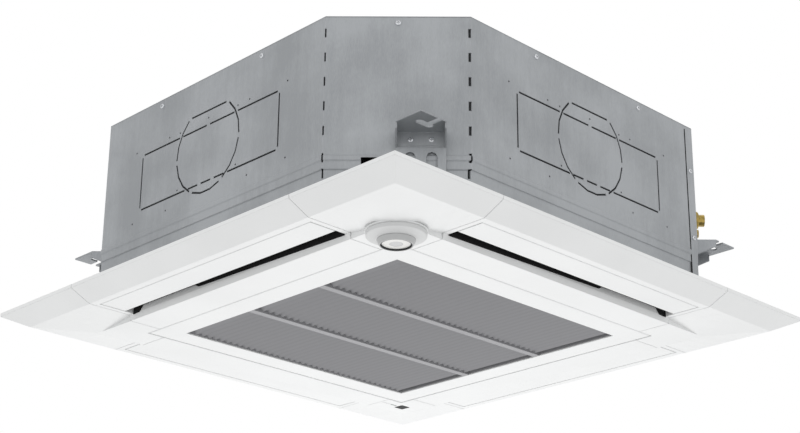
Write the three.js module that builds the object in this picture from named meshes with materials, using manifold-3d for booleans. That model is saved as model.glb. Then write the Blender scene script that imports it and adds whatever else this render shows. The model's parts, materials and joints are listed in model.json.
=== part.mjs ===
// Four-way ceiling cassette air conditioner, indoor unit with its ceiling panel.
// Millimetres, +Z up. The origin is the centre of the ceiling plane: the cabinet stands above it,
// the panel hangs below it. Front is -Y, right is +X, and the corners are named from these sides.
import * as THREE from 'three'
import { mergeVertices } from 'three/addons/utils/BufferGeometryUtils.js'
import Module from 'manifold-3d'

const wasm = await Module()
wasm.setup()

// ---- fits ----
const gap = 0.3 // between pieces that rest on each other
const runningGap = 0.4 // round pins in their bearings
const seam = 1.0 // visible joint between panel mouldings

// ---- ceiling panel ----
const panelSide = 950
const panelWall = 2.5
const lipHeight = 6
const slopeWidth = 37
const ringDepth = 24 // flat ring round the outlets, below the ceiling
const faceDepth = 33.5 // middle of the panel, below the ceiling
const panelBack = 2.5 // panel tray above the ceiling plane
const coverEdge = 265 // joint between side bar and corner cover, from the middle
const fadeLength = 80 // the step beside the outlet runs out in the corner cover
const frameRibPitch = 90 // to each side of the middle

// ---- air outlets and vanes ----
const outletOuter = 425.5
const outletInner = 359.3
const outletEndWall = 9.5
const stepLean = 2.3
const vaneShare = 0.7477 // of the outlet's width
const vaneEdgeGap = 1
const vaneEndGap = 2
const vanePivotShare = 0.6566 // of the vane's width, in from its outer edge
const vanePivotDepth = 10.5
const vanePinRadius = 3
const vaneCheek = 3
const motorRadius = 10
const motorLength = 19

// ---- intake grille, louvres and filter ----
const grilleSide = 593
const grilleGap = 1.5
const grilleSkin = 2
const grilleHeight = 11.5
const grilleEdgeRound = 2
const fieldSide = 504.8
const louvrePitch = 13.1
const louvreThickness = 2.4
const louvreLean = 8
const louvreRise = 6.6
const louvreRibWidth = 4
const louvreStrap = 1.6
const hingeInset = 8.5
const hingeDepth = 27.5
const hingePinRadius = 1.5
const hingeX = 180
const lugWidth = 6
const shelfDepth = 12
const shelfInner = 262
const catchX = 150
const catchInset = 16.5
const catchSize = 8
const filterHeight = 5
const filterBorder = 9
const filterRib = 2

// ---- corner covers: sensor and receiver ----
const sensorAside = 0.5 // both ways out from the middle of the corner's flat face
const sensorBase = 44
const sensorRim = 29.8
const sensorDrop = 11.2
const headRadius = 28
const headDrop = 7.5
const headNeck = 24.3
const lensRadius = 22.5
const lensRecess = 3.4
const receiverShare = 0.356 // of the width of the corner's flat face
const receiverInset = 0.373 // of the same width, from the grille's pocket
const receiverAside = 1.5
const lampStripWidth = 3
const lampStripLength = 16
const lampStripY = 299
const buttonRadius = 3
const buttonTravel = 0.6
const buttonYs = [274, 284]

// ---- cabinet ----
const cabinetSide = 840
const cabinetHeight = 298
const chamfer = 150 // taken off each side at the corners
const sheet = 1.2
const lowerStep = 1.5 // the lower edge of the wall is drawn in
const beadHeight = 71 // middle of the pressed bead
const beadWidth = 10
const beadProud = 1.2
const stepHeight = 54
const bottomFlange = 10
const topFlange = 16
const wallJoint = 20 // corner plate wraps on to the next wall
const linerThickness = 8
const topFoam = 10
const topBeadAside = 105

// ---- knock-outs in the walls ----
const knockHalfWidth = 170
const knockBottom = 116
const knockTop = 212
const knockRadius = 77
const knockCentre = 176
const knockFlat = 237
const knockSlot = 3
const knockBridge = 8
const pilotRadius = 1.6
const pilotHoles = [[188, 222], [188, 97], [100, 222], [100, 96], [72, 221], [72, 122]]
const middlePilotHeight = 224
const reliefHeight = 14.4
const reliefInset = 27.7 // from the top
const reliefLow = 113.5
const reliefWidth = 2.6

// ---- hanger brackets ----
const boltX = 395
const boltY = 350
const boltSlot = 12.5
const boltSlotRun = 20
const boltMouth = 10
const tabHeight = 110
const bracketSheet = 2.5
const bracketWidth = 72
const bracketTip = 561 // tab's corner, along the diagonal
const bracketAside = 34 // middle of the bracket, along the chamfer
const bracketBottom = 36
const archRadius = 8
const archOffset = 15.5
const archLow = 52
const archHigh = 71
const gussetHeight = 26
const foldHeight = 88

// ---- drain pan and bell mouth ----
const panTop = 64
const panOpening = 262
const ledgeWidth = 14
const ledgeHeight = 44
const troughWidth = 56
const troughDepth = 18
const bellThroat = 165
const bellFlare = 225
const bellOverlap = 6 // of the bell mouth in the fan's eye
const bellPlate = 2.5
const plugRadius = 11

// ---- heat exchanger and pipes ----
const coilHalf = 312 // centre line of the fin block
const coilDepth = 40
const roofSpace = 14 // above the heat exchanger and the motor
const coilCorner = 70
const coilEnd = 190
const coilPlate = 2
const bendRadius = 11
const bendTube = 4
const bendRises = [-70, -30, 78] // of the end bends, from the pipes
const partitionSheet = 1.5
const pipeHeight = 162
const pipeAside = 30
const gasPipeRadius = 8
const liquidPipeRadius = 5
const nutLength = 26
const gasNut = 13.5
const liquidNut = 10

// ---- fan ----
const fanRadius = 235
const fanBelowMotorTop = 22
const fanDomeRadius = 85
const fanWall = 2
const fanBlades = 7
const fanBladeInner = 168
const shroudEye = 172
const fanHeight = 142
const fanOutletHeight = 110
const hubDepth = 84
const hubRadius = 15
const shaftRadius = 6
const fanMotorRadius = 72
const fanMotorHeight = 78
const mountRadius = 100

// ---- controls ----
const boxHalfLength = 190
const boxFront = 172
const boxBack = 254
const boxDepth = 34
const boxSpace = 10 // to the cut corners of the drain pan
const boxSheet = 1
const boardHeight = 1.6
const boardGrid = 2 // the parts on the board stand on it

// ---- drain pump ----
const pumpPlace = 268
const pumpRadius = 31
const pumpBottom = 50
const pumpTop = 142
const pumpChamber = 18
const impellerRadius = 15
const hoseRadius = 9
const socketX = 205
const socketHeight = 190
const socketRadius = 16
const socketReach = 40
const floatX = 312
const floatY = 228
const floatRadius = 11
const floatHeight = 12
const floatTravel = 8

// ---- colours ----
const finishes = {
  white: { color: 0xf1f2f2, roughness: 0.42, metalness: 0 },
  grey: { color: 0x88888b, roughness: 0.55, metalness: 0 },
  dark: { color: 0x2a2b2d, roughness: 0.5, metalness: 0 },
  black: { color: 0x111113, roughness: 0.25, metalness: 0 },
  steel: { color: 0xa4a6a9, roughness: 0.45, metalness: 0.85 },
  foam: { color: 0xe9ebea, roughness: 0.9, metalness: 0 },
  darkFoam: { color: 0x303234, roughness: 0.9, metalness: 0 },
  fin: { color: 0xb9bdc1, roughness: 0.4, metalness: 0.9 },
  copper: { color: 0xb87350, roughness: 0.3, metalness: 1 },
  brass: { color: 0xb59a56, roughness: 0.35, metalness: 0.95 },
  board: { color: 0x2f6b45, roughness: 0.6, metalness: 0 },
  rubber: { color: 0x303234, roughness: 0.85, metalness: 0 },
  smoke: { color: 0x9fb0a8, roughness: 0.3, metalness: 0 }
}

// ---- geometry helpers ----

// Welded copy of a geometry: position only, no flat triangles, faces pointing out.
function weld(geometry) {
  const bare = geometry.clone()
  bare.deleteAttribute('normal')
  bare.deleteAttribute('uv')
  const merged = mergeVertices(bare, 1e-4)
  const p = merged.attributes.position
  const kept = []
  const corner = [new THREE.Vector3(), new THREE.Vector3(), new THREE.Vector3()]
  let volume = 0
  for (let i = 0; i < merged.index.count; i += 3) {
    const [a, b, c] = [0, 1, 2].map(k => merged.index.getX(i + k))
    if (a === b || b === c || c === a) continue
    kept.push(a, b, c)
    ;[a, b, c].forEach((index, k) => corner[k].fromBufferAttribute(p, index))
    volume += corner[0].dot(corner[1].cross(corner[2]))
  }
  if (volume < 0) kept.reverse()
  merged.setIndex(kept)
  return merged
}

function solid(geometry) {
  const g = weld(geometry)
  return new wasm.Manifold(new wasm.Mesh({
    numProp: 3,
    vertProperties: new Float32Array(g.attributes.position.array),
    triVerts: new Uint32Array(g.index.array)
  }))
}

function surface(manifold) {
  const mesh = manifold.getMesh()
  const geometry = new THREE.BufferGeometry()
  geometry.setAttribute('position', new THREE.BufferAttribute(mesh.vertProperties, 3))
  geometry.setIndex(new THREE.BufferAttribute(mesh.triVerts, 1))
  return geometry
}

function join(...pieces) {
  return surface(pieces.map(solid).reduce((whole, piece) => whole.add(piece)))
}

function cut(piece, ...tools) {
  if (!tools.length) return piece
  return surface(solid(piece).subtract(tools.map(solid).reduce((all, tool) => all.add(tool))))
}

function common(a, b) {
  return surface(solid(a).intersect(solid(b)))
}

function box(x0, x1, y0, y1, z0, z1) {
  const g = new THREE.BoxGeometry(Math.abs(x1 - x0), Math.abs(y1 - y0), Math.abs(z1 - z0))
  return g.translate((x0 + x1) / 2, (y0 + y1) / 2, (z0 + z1) / 2)
}

// Prism along an axis. Its outline is (y, z) along x, (x, z) along y and (x, y) along z.
function prism(axis, outline, from, to) {
  const turned = axis === 'y' ? outline.map(([a, b]) => [b, a]) : outline
  const shape = new THREE.Shape(turned.map(([a, b]) => new THREE.Vector2(a, b)))
  const g = new THREE.ExtrudeGeometry(shape, { depth: to - from, bevelEnabled: false })
  g.translate(0, 0, from)
  const [x, y, z] = [[1, 0, 0], [0, 1, 0], [0, 0, 1]].map(v => new THREE.Vector3(...v))
  const basis = { x: [y, z, x], y: [z, x, y], z: [x, y, z] }[axis]
  return g.applyMatrix4(new THREE.Matrix4().makeBasis(...basis))
}

function arc(cx, cy, radius, from, to, steps) {
  return Array.from({ length: steps + 1 }, (_, i) => {
    const angle = THREE.MathUtils.degToRad(from + (to - from) * i / steps)
    return [cx + radius * Math.cos(angle), cy + radius * Math.sin(angle)]
  })
}

function circle(cx, cy, radius, sides) {
  return arc(cx, cy, radius, 0, 360 * (sides - 1) / sides, sides - 1)
}

function rod(axis, a, b, radius, from, to, sides = 16) {
  return prism(axis, circle(a, b, radius, sides), from, to)
}

// Body of revolution about Z from a profile of [radius, z] pairs that closes on itself.
function revolve(profile, sides = 32) {
  const points = [...profile, profile[0]].map(([r, z]) => new THREE.Vector2(r, z))
  return weld(new THREE.LatheGeometry(points, sides).rotateX(Math.PI / 2))
}

// A profile of [offset, z] pairs carried along a level path with mitred corners. The offset
// is to the right of the way, which is outwards on a path that runs counterclockwise.
function sweep(path, profile, closed) {
  const count = path.length
  const at = i => new THREE.Vector2(...path[(i + count) % count])
  const right = (i, j) => {
    const way = at(j).sub(at(i)).normalize()
    return new THREE.Vector2(way.y, -way.x)
  }
  const positions = []
  for (let i = 0; i < count; i++) {
    const first = !closed && i === 0
    const last = !closed && i === count - 1
    const before = first ? right(i, i + 1) : right(i - 1, i)
    const after = last ? before : right(i, i + 1)
    const mitre = before.clone().add(after).divideScalar(1 + before.dot(after))
    for (const [offset, z] of profile) {
      const p = at(i).addScaledVector(mitre, offset)
      positions.push(p.x, p.y, z)
    }
  }
  const rows = profile.length
  const index = []
  for (let i = 0; i < (closed ? count : count - 1); i++) {
    for (let j = 0; j < rows; j++) {
      const a = i * rows + j
      const b = i * rows + (j + 1) % rows
      const c = ((i + 1) % count) * rows + j
      const d = ((i + 1) % count) * rows + (j + 1) % rows
      index.push(a, c, b, b, c, d)
    }
  }
  if (!closed) {
    const flat = profile.map(([a, b]) => new THREE.Vector2(a, b))
    const end = (count - 1) * rows
    for (const [a, b, c] of THREE.ShapeUtils.triangulateShape(flat, [])) {
      index.push(a, b, c, end + a, end + c, end + b)
    }
  }
  const g = new THREE.BufferGeometry()
  g.setAttribute('position', new THREE.Float32BufferAttribute(positions, 3))
  g.setIndex(index)
  return weld(g)
}

// Sheet over a grid of x and y lines: its lower face is height(x, y), and it is thick upwards.
function blanket(xs, ys, height, thickness) {
  const positions = []
  for (const lift of [0, thickness]) {
    for (const y of ys) for (const x of xs) positions.push(x, y, height(x, y) + lift)
  }
  const nx = xs.length
  const layer = nx * ys.length
  const index = []
  const quad = (a, b, c, d) => index.push(a, b, c, a, c, d)
  for (let j = 0; j < ys.length - 1; j++) {
    for (let i = 0; i < nx - 1; i++) {
      const a = j * nx + i
      quad(a, a + nx, a + nx + 1, a + 1)
      quad(a + layer, a + layer + 1, a + layer + nx + 1, a + layer + nx)
    }
  }
  const rim = []
  for (let i = 0; i < nx - 1; i++) rim.push(i)
  for (let j = 0; j < ys.length - 1; j++) rim.push(j * nx + nx - 1)
  for (let i = nx - 1; i > 0; i--) rim.push((ys.length - 1) * nx + i)
  for (let j = ys.length - 1; j > 0; j--) rim.push(j * nx)
  rim.forEach((a, k) => {
    const b = rim[(k + 1) % rim.length]
    quad(a, b, b + layer, a + layer)
  })
  const g = new THREE.BufferGeometry()
  g.setAttribute('position', new THREE.Float32BufferAttribute(positions, 3))
  g.setIndex(index)
  return weld(g)
}

// Tube of round section along a smooth curve through points.
function pipe(points, radius, steps, sides = 10) {
  const curve = new THREE.CatmullRomCurve3(points.map(p => new THREE.Vector3(...p)), false, 'centripetal')
  const ring = new THREE.Shape(circle(0, 0, radius, sides).map(([a, b]) => new THREE.Vector2(a, b)))
  return new THREE.ExtrudeGeometry(ring, { steps, extrudePath: curve, bevelEnabled: false })
}

// Turns a piece made for the front side to side k: 0 front, 1 right, 2 rear, 3 left.
function onSide(k, piece) {
  return piece.rotateZ(k * Math.PI / 2)
}

// Mirrors a piece made in the quarter of +X +Y to the corner with these signs.
function inCorner(sx, sy, piece) {
  return weld(piece.clone().scale(sx, sy, 1))
}

// Mirrors a piece about the plane through Z that lies between +X and +Y.
function otherHand(piece) {
  return weld(piece.clone().applyMatrix4(new THREE.Matrix4().makeBasis(
    new THREE.Vector3(0, 1, 0), new THREE.Vector3(1, 0, 0), new THREE.Vector3(0, 0, 1))))
}

// Regular eight-sided outline of the cabinet, counterclockwise, drawn in by an inset.
function octagon(inset) {
  const half = cabinetSide / 2 - inset
  const flat = cabinetSide / 2 - chamfer - inset * Math.tan(Math.PI / 8)
  return [
    [-flat, -half], [flat, -half], [half, -flat], [half, flat],
    [flat, half], [-flat, half], [-half, flat], [-half, -flat]
  ]
}

function square(half) {
  return [[-half, -half], [half, -half], [half, half], [-half, half]]
}

// ---- values worked out from the driving dimensions ----
const lip = panelSide / 2
const ringOuter = lip - slopeWidth
const slope = (ringDepth - lipHeight) / slopeWidth
const slopeRise = panelWall * Math.hypot(1, slope)
const stepFoot = outletInner - stepLean
const frameEnd = coverEdge - seam / 2
const coverStart = coverEdge + seam / 2
const outletHalf = frameEnd - outletEndWall
const pocket = grilleSide / 2 + grilleGap
const vaneOuter = outletOuter - vaneEdgeGap
const vaneHalf = outletHalf - vaneEndGap
const vaneWidth = vaneShare * (outletOuter - outletInner)
const vanePivot = vaneOuter - vanePivotShare * vaneWidth
const coverBack = -faceDepth + panelWall
const cornerFlat = stepFoot - pocket
const sensorPlace = pocket + cornerFlat / 2 + sensorAside
const receiverSide = receiverShare * cornerFlat
const receiverX = pocket + receiverInset * cornerFlat
const receiverY = receiverX + receiverAside
const cabinetHalf = cabinetSide / 2
const chamferDistance = (cabinetSide - chamfer) / Math.SQRT2
const leftPlateHalf = cabinetHalf - sheet - gap - lowerStep
const leftPlateTurn = cabinetHalf - chamfer - (sheet + gap) * Math.tan(Math.PI / 8)
const leftPlateAt = (leftPlateHalf + leftPlateTurn) / Math.SQRT2
const shelfTop = -shelfDepth + panelWall
const hingeY = grilleSide / 2 - hingeInset
const grilleTop = -faceDepth + grilleHeight
const cabinetBottom = panelBack + gap
const catchY = grilleSide / 2 - catchInset
const fieldHalf = fieldSide / 2
const insertOuter = fieldHalf + grilleSkin - gap
const fieldWall = fieldHalf + grilleSkin
const coilTop = cabinetHeight - roofSpace
const fanMotorTop = cabinetHeight - roofSpace
const fanMotorBottom = fanMotorTop - fanMotorHeight
const fanTop = fanMotorTop - fanBelowMotorTop
const shroudBottom = fanTop - fanHeight
const shroudOuterHeight = fanTop - fanOutletHeight
const hubBottom = fanTop - hubDepth
const bellTop = shroudBottom + bellOverlap
const panCornerCut = 2 * panOpening - boxHalfLength - boxBack - boxSpace

// ---- ceiling panel ----

// Closed outlines (outwards, z) of the two long mouldings beside an outlet.
const outerBarSkin = [
  [lip, 0], [lip, -lipHeight], [ringOuter, -ringDepth], [outletOuter, -ringDepth], [outletOuter, panelBack],
  [outletOuter + panelWall, panelBack], [outletOuter + panelWall, -ringDepth + panelWall],
  [ringOuter + (panelWall - slopeRise) / slope, -ringDepth + panelWall],
  [lip - panelWall, -lipHeight - slope * panelWall + slopeRise], [lip - panelWall, 0]
]
const outerBarFull = [
  [lip, 0], [lip, -lipHeight], [ringOuter, -ringDepth], [outletOuter, -ringDepth], [outletOuter, 0]
]
const innerBarSkin = [
  [pocket, -faceDepth], [stepFoot, -faceDepth], [outletInner, -ringDepth], [outletInner, panelBack],
  [outletInner - panelWall, panelBack], [outletInner - panelWall, -ringDepth + panelWall / 4],
  [stepFoot - panelWall, coverBack], [pocket + panelWall, coverBack], [pocket + panelWall, shelfTop],
  [shelfInner, shelfTop], [shelfInner, -shelfDepth], [pocket, -shelfDepth]
]
const innerBarFull = [
  [pocket, -faceDepth], [stepFoot, -faceDepth], [outletInner, -ringDepth], [outletInner, 0], [pocket, 0]
]

// Prism along a side from an outline of (outwards, z), made for the front.
function sideBar(outline, from, to) {
  return prism('x', outline.map(([out, z]) => [-out, z]), from, to)
}

function outletFrame() {
  const pieces = [sideBar(outerBarSkin, -frameEnd, frameEnd), sideBar(innerBarSkin, -frameEnd, frameEnd)]
  for (const s of [-1, 1]) {
    const [near, far] = [s * outletHalf, s * frameEnd].sort((a, b) => a - b)
    const [ribFrom, ribTo] = [s * (frameEnd - panelWall), s * frameEnd].sort((a, b) => a - b)
    pieces.push(box(near, far, -outletOuter - panelWall, -outletInner + panelWall, -ringDepth, panelBack))
    pieces.push(sideBar(innerBarFull, ribFrom, ribTo), sideBar(outerBarFull, ribFrom, ribTo))
  }
  for (const x of [-frameRibPitch, frameRibPitch]) {
    pieces.push(sideBar(innerBarFull, x - panelWall / 2, x + panelWall / 2))
  }
  const pinHole = rod('x', -vanePivot, -vanePivotDepth, vanePinRadius + runningGap, -coverEdge, coverEdge, 8)
  return cut(join(...pieces), pinHole)
}

// Tray behind one corner cover, with the way through to the hanging bolt, and its two rests.
function cornerTray() {
  const inner = frameEnd - panelWall
  const outer = outletOuter + panelWall
  const way = box(boltX - 35, boltX + 28, boltY - 35, boltY + 35, -1, panelBack + 1)
  const tray = cut(box(inner, outer, inner, outer, 0, panelBack), way)
  const restNear = coverStart + 7
  const restFar = stepFoot - 17
  const height = [coverBack + gap, panelBack]
  return join(
    tray,
    box(restNear, restNear + 8, restFar, restFar + 8, ...height),
    box(restFar, restFar + 8, restNear, restNear + 8, ...height)
  )
}

function hingeLug(x) {
  const radius = hingePinRadius + runningGap + 1.8
  const outline = [
    ...arc(hingeY, -hingeDepth, radius, 180, 360, 6),
    [hingeY + radius, -shelfDepth + 1], [hingeY - radius, -shelfDepth + 1]
  ]
  const lug = onSide(2, sideBar(outline, -x - lugWidth / 2, -x + lugWidth / 2))
  return cut(lug, rod('x', hingeY, -hingeDepth, hingePinRadius + runningGap, x - lugWidth, x + lugWidth, 10))
}

const catchTop = shelfTop + 7.5
const catchHole = catchSize / 2 + gap

function panelFrame() {
  const ring = sweep(square(pocket), [
    [0, coverBack + gap], [panelWall, coverBack + gap], [panelWall, shelfTop],
    [shelfInner - pocket, shelfTop], [shelfInner - pocket, -shelfDepth], [0, -shelfDepth]
  ], true)
  const pieces = [ring]
  for (let k = 0; k < 4; k++) pieces.push(onSide(k, outletFrame()))
  for (const sx of [-1, 1]) for (const sy of [-1, 1]) pieces.push(inCorner(sx, sy, cornerTray()))
  for (const x of [-hingeX, hingeX]) pieces.push(hingeLug(x))
  const boss = catchSize / 2 + gap + panelWall
  const holes = []
  for (const x of [-catchX, catchX]) {
    pieces.push(box(x - boss, x + boss, -catchY - boss, -catchY + boss, -shelfDepth, catchTop))
    holes.push(box(x - catchHole, x + catchHole, -catchY - catchHole, -catchY + catchHole,
      -shelfDepth - 1, catchTop + 1))
  }
  return cut(join(...pieces), ...holes)
}

// Height of the lower face of a corner cover, in the quarter of +X +Y.
function coverHeight(x, y) {
  const out = Math.max(x, y)
  const along = Math.min(x, y)
  if (out >= ringOuter) return -ringDepth + slope * (out - ringOuter)
  const down = -faceDepth + (faceDepth - ringDepth) * (out - stepFoot) / (ringOuter - stepFoot)
  return THREE.MathUtils.lerp(-ringDepth, down,
    THREE.MathUtils.clamp((along - coverStart) / fadeLength, 0, 1))
}

function cornerCover() {
  const start = coverStart
  const fadeEnd = start + fadeLength
  const alongLines = [0, 0.33, 0.67, 1].map(t => start + t * fadeLength).concat(stepFoot)
  const outLines = [0, 0.5, 1].map(t => stepFoot + t * (ringOuter - stepFoot))
  const notch = pocket + gap
  const plateau = prism('z', [
    [notch, start], [stepFoot, start], [stepFoot, stepFoot], [start, stepFoot], [start, notch], [notch, notch]
  ], -faceDepth, coverBack)
  const stepWall = [
    [start, -faceDepth], [fadeEnd, -faceDepth], [fadeEnd, coverBack], [start, -ringDepth + panelWall]
  ]
  const wall = prism('y', stepWall, stepFoot - panelWall, stepFoot)
  const field = blanket(alongLines, outLines, coverHeight, panelWall)
  const rim = blanket([start, ringOuter], [ringOuter, lip], coverHeight, panelWall)
  const edge = box(start, lip, lip - panelWall, lip, -lipHeight, 0)
  const corner = blanket([stepFoot, ringOuter], [stepFoot, ringOuter], coverHeight, panelWall)
  const rimCorner = blanket([ringOuter, lip], [ringOuter, lip], coverHeight, panelWall)
  const pairs = [wall, field, rim, edge]
  return join(plateau, ...pairs, ...pairs.map(otherHand), corner, rimCorner)
}

function sensorCover() {
  const place = sensorPlace
  const notch = pocket + gap
  const disc = rod('z', place, place, sensorBase + 1.5, -faceDepth, coverBack, 28)
  const pad = cut(disc, box(0, notch, 0, notch, -faceDepth - 1, 0))
  const neck = rod('z', place, place, headNeck + 9, -faceDepth - 1, 0, 24)
  return cut(join(cornerCover(), pad), neck)
}

function receiverCover() {
  const half = receiverSide / 2 + gap
  const low = -faceDepth - 1
  const high = coverBack + 1
  const tools = [box(receiverX - half, receiverX + half, receiverY - half, receiverY + half, low, high)]
  for (const y of buttonYs) tools.push(rod('z', receiverX, y, buttonRadius + gap, low, high, 14))
  const w = lampStripWidth / 2 + gap
  const l = lampStripLength / 2 + gap
  tools.push(box(receiverX - w, receiverX + w, lampStripY - l, lampStripY + l, low, high))
  return cut(cornerCover(), ...tools)
}

// ---- vanes and their motors, about the pivot axis ----

function vane() {
  const low = -ringDepth + vanePivotDepth
  const outer = vaneOuter - vanePivot
  const inner = outer - vaneWidth
  const section = [
    [outer, low + 1.2], [outer - 1.2, low], [inner + 2, low], [inner, low + 1.2], [inner + 1.5, low + 3],
    [inner + 0.28 * vaneWidth, low + 4.6], [inner + 0.65 * vaneWidth, low + 4.4], [outer - 4, low + 2.6]
  ]
  const blade = sideBar(section, -vaneHalf, vaneHalf)
  const cheek = [[-7, low + 3], ...arc(0, 0, vanePinRadius + 2, 180, 0, 4), [7, low + 3]]
  const pieces = [blade]
  for (const s of [-1, 1]) {
    const [a, b] = [s * (vaneHalf - vaneCheek), s * vaneHalf].sort((p, q) => p - q)
    const [c, d] = [s * (vaneHalf - vaneCheek), s * (frameEnd - 3)].sort((p, q) => p - q)
    pieces.push(sideBar(cheek, a, b), rod('x', 0, 0, vanePinRadius, c, d, 8))
  }
  return join(...pieces)
}

function vaneMotor() {
  const start = frameEnd + gap
  const can = rod('x', 0, 0, motorRadius, start, start + motorLength, 12)
  const ear = box(start, start + 1, -motorRadius - 5, motorRadius + 5, -3, 3)
  const shaft = rod('x', 0, 0, vanePinRadius - 0.6, frameEnd - 3 + gap, start + 1, 6)
  return join(can, ear, shaft)
}

// ---- sensor ----

function sensorHousing() {
  const base = -faceDepth - gap
  const rim = -faceDepth - sensorDrop
  const bore = headNeck + runningGap
  const swell = [[0, 0.09], [0.3, 0.34], [0.7, 0.76], [1, 1]]
  const bowl = swell.map(([t, drop]) => [
    THREE.MathUtils.lerp(sensorBase, sensorRim, t), THREE.MathUtils.lerp(base, rim, drop)
  ])
  return revolve([
    [bore, -shelfDepth], [bore, rim], [sensorRim, rim], ...bowl.reverse().slice(1),
    [sensorBase, base], [headNeck + 9 - gap, base], [headNeck + 9 - gap, -shelfDepth]
  ], 24)
}

const headBottom = -faceDepth - sensorDrop - gap - headDrop

function sensorHead() {
  const top = headBottom + headDrop
  return revolve([
    [0, headBottom + lensRecess], [lensRadius + gap, headBottom + lensRecess], [lensRadius + gap,
      headBottom + 0.6],
    [lensRadius + 1, headBottom], [headRadius - 1.5, headBottom], [headRadius, headBottom + 1.5],
    [headRadius, top], [headNeck, top], [headNeck, -shelfDepth - 2], [0, -shelfDepth - 2]
  ], 24)
}

function sensorLens() {
  const top = headBottom + lensRecess - gap
  return revolve([
    [0, top], [lensRadius, top], [lensRadius, top - 1], [lensRadius * 0.4, top - 2], [0, top - 2.1]
  ], 24)
}

// ---- receiver ----

function receiverBoard() {
  const low = coverBack + gap
  const half = receiverSide * 2 / 3
  return box(receiverX - half, receiverX + half, buttonYs[0] - 6, receiverY + half + 3, low,
    low + boardHeight)
}

function receiverWindow() {
  const half = receiverSide / 2
  const low = -faceDepth - gap
  const rise = 1.2
  const pane = sweep(square(half),
    [[0, coverBack], [0, low + rise], [-rise, low], [-half + 0.5, low], [-half + 0.5, coverBack]], true)
  return join(pane, box(-2, 2, -2, 2, low, coverBack)).translate(receiverX, receiverY, 0)
}

function statusLamps() {
  const w = lampStripWidth / 2
  const l = lampStripLength / 2
  const low = -faceDepth + 0.2
  const strip = box(receiverX - w, receiverX + w, lampStripY - l, lampStripY + l, low, coverBack)
  const domes = [-5, 0, 5].map(y =>
    revolve([[0, low - 0.7], [1.1, low - 0.3], [1.3, low + 0.5], [0, low + 0.5]], 8)
    .translate(receiverX, lampStripY + y, 0))
  return join(strip, ...domes)
}

function button() {
  const low = -faceDepth - 0.5
  const top = coverBack + gap - buttonTravel - gap
  return revolve([
    [0, low + 0.3], [buttonRadius - 1.2, low + 0.2], [buttonRadius - 0.5, low], [buttonRadius, low + 0.5],
    [buttonRadius, top], [0, top]
  ], 12)
}

// ---- intake grille ----

function intakeGrille() {
  const skinTop = -faceDepth + grilleSkin
  const half = grilleSide / 2
  const border = sweep(square(half), [
    [0, -faceDepth + grilleEdgeRound], [-grilleEdgeRound * 0.3, -faceDepth + grilleEdgeRound * 0.3],
    [-grilleEdgeRound, -faceDepth], [fieldHalf - half, -faceDepth], [fieldHalf - half, skinTop],
    [fieldWall - half, skinTop], [fieldWall - half, grilleTop], [fieldWall - half + grilleSkin, grilleTop],
    [fieldWall - half + grilleSkin, skinTop], [-grilleSkin, skinTop], [-grilleSkin, grilleTop], [0, grilleTop]
  ], true)
  const ribs = []
  for (let k = 0; k < 4; k++) {
    for (const x of [-fieldHalf / 3, fieldHalf / 3]) {
      ribs.push(onSide(k, box(x - 1, x + 1, -half + 1, -fieldWall - 1, skinTop - 1, grilleTop - 2)))
    }
  }
  const notches = []
  const knuckles = []
  for (const x of [-hingeX, hingeX]) {
    const reach = lugWidth / 2 + runningGap
    notches.push(box(x - reach - 2, x + reach + 2, half - grilleSkin - 1, half + 1, skinTop, grilleTop + 1))
    for (const s of [-1, 1]) {
      const [a, b] = [x + s * reach, x + s * (reach + 2)].sort((p, q) => p - q)
      knuckles.push(box(a, b, hingeY - 4, hingeY + 4, skinTop - 1, -hingeDepth + 3))
    }
    knuckles.push(rod('x', hingeY, -hingeDepth, hingePinRadius, x - reach - 1, x + reach + 1, 12))
  }
  const strikers = [-catchX, catchX].map(x => box(x - 3, x + 3, -catchY - 3, -catchY + 3, skinTop - 1,
    grilleTop + 1))
  return join(cut(join(border, ...ribs), ...notches), ...knuckles, ...strikers)
}

function grilleLouvres() {
  const low = -faceDepth + grilleSkin + gap
  const ring = sweep(square(insertOuter), [[0, low], [-3, low], [-3, grilleTop - 2], [0, grilleTop - 2]],
    true)
  const count = Math.floor((2 * insertOuter - 12) / louvrePitch)
  const first = -(count - 1) / 2 * louvrePitch
  const bottom = -faceDepth + louvreStrap + 2 * gap
  const blades = Array.from({ length: count }, (_, i) => {
    const y = first + i * louvrePitch
    const half = louvreLean / 2
    const t = louvreThickness
    const section = [[y + half, bottom], [y - half + t, bottom + louvreRise], [y - half, bottom + louvreRise]]
    return prism('x', section, -fieldHalf + 0.4, fieldHalf - 0.4)
  })
  const ribs = [-1, 1].map(s => box(s * fieldSide / 6 - louvreRibWidth / 2,
    s * fieldSide / 6 + louvreRibWidth / 2,
    -fieldHalf + gap, fieldHalf - gap, -faceDepth + gap, bottom - gap))
  const feet = [-1, 1].flatMap(s => [-1, 1].map(t => box(s * fieldSide / 6 - louvreRibWidth / 2,
    s * fieldSide / 6 + louvreRibWidth / 2, t * (fieldHalf - 2), t * (fieldHalf - gap), -faceDepth + gap, low + 1)))
  return join(ring, ...blades, ...ribs, ...feet)
}

function airFilter() {
  const low = grilleTop + gap
  const half = fieldWall + grilleSkin
  const border = sweep(square(half),
    [[0, low], [-filterBorder, low], [-filterBorder, low + filterHeight], [0, low + filterHeight]], true)
  const inner = half - filterBorder + 1
  const ribs = []
  for (const at of [-half / 2, 0, half / 2]) {
    ribs.push(box(at - filterRib / 2, at + filterRib / 2, -inner, inner, low + 1, low + 3))
    ribs.push(box(-inner, inner, at - filterRib / 2, at + filterRib / 2, low + 1, low + 3.5))
  }
  return join(border, ...ribs)
}

// Sprung catch over the grille's striker: it gives way upwards when the grille is pressed.
function grilleCatch() {
  const half = catchSize / 2
  const low = grilleTop + 1 + gap
  return join(
    box(-half, half, -half, half, low, catchTop + gap + 1),
    box(-half - 2, half + 2, -half - 2, half + 2, catchTop + gap, catchTop + gap + 2)
  )
}

// ---- cabinet ----

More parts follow.
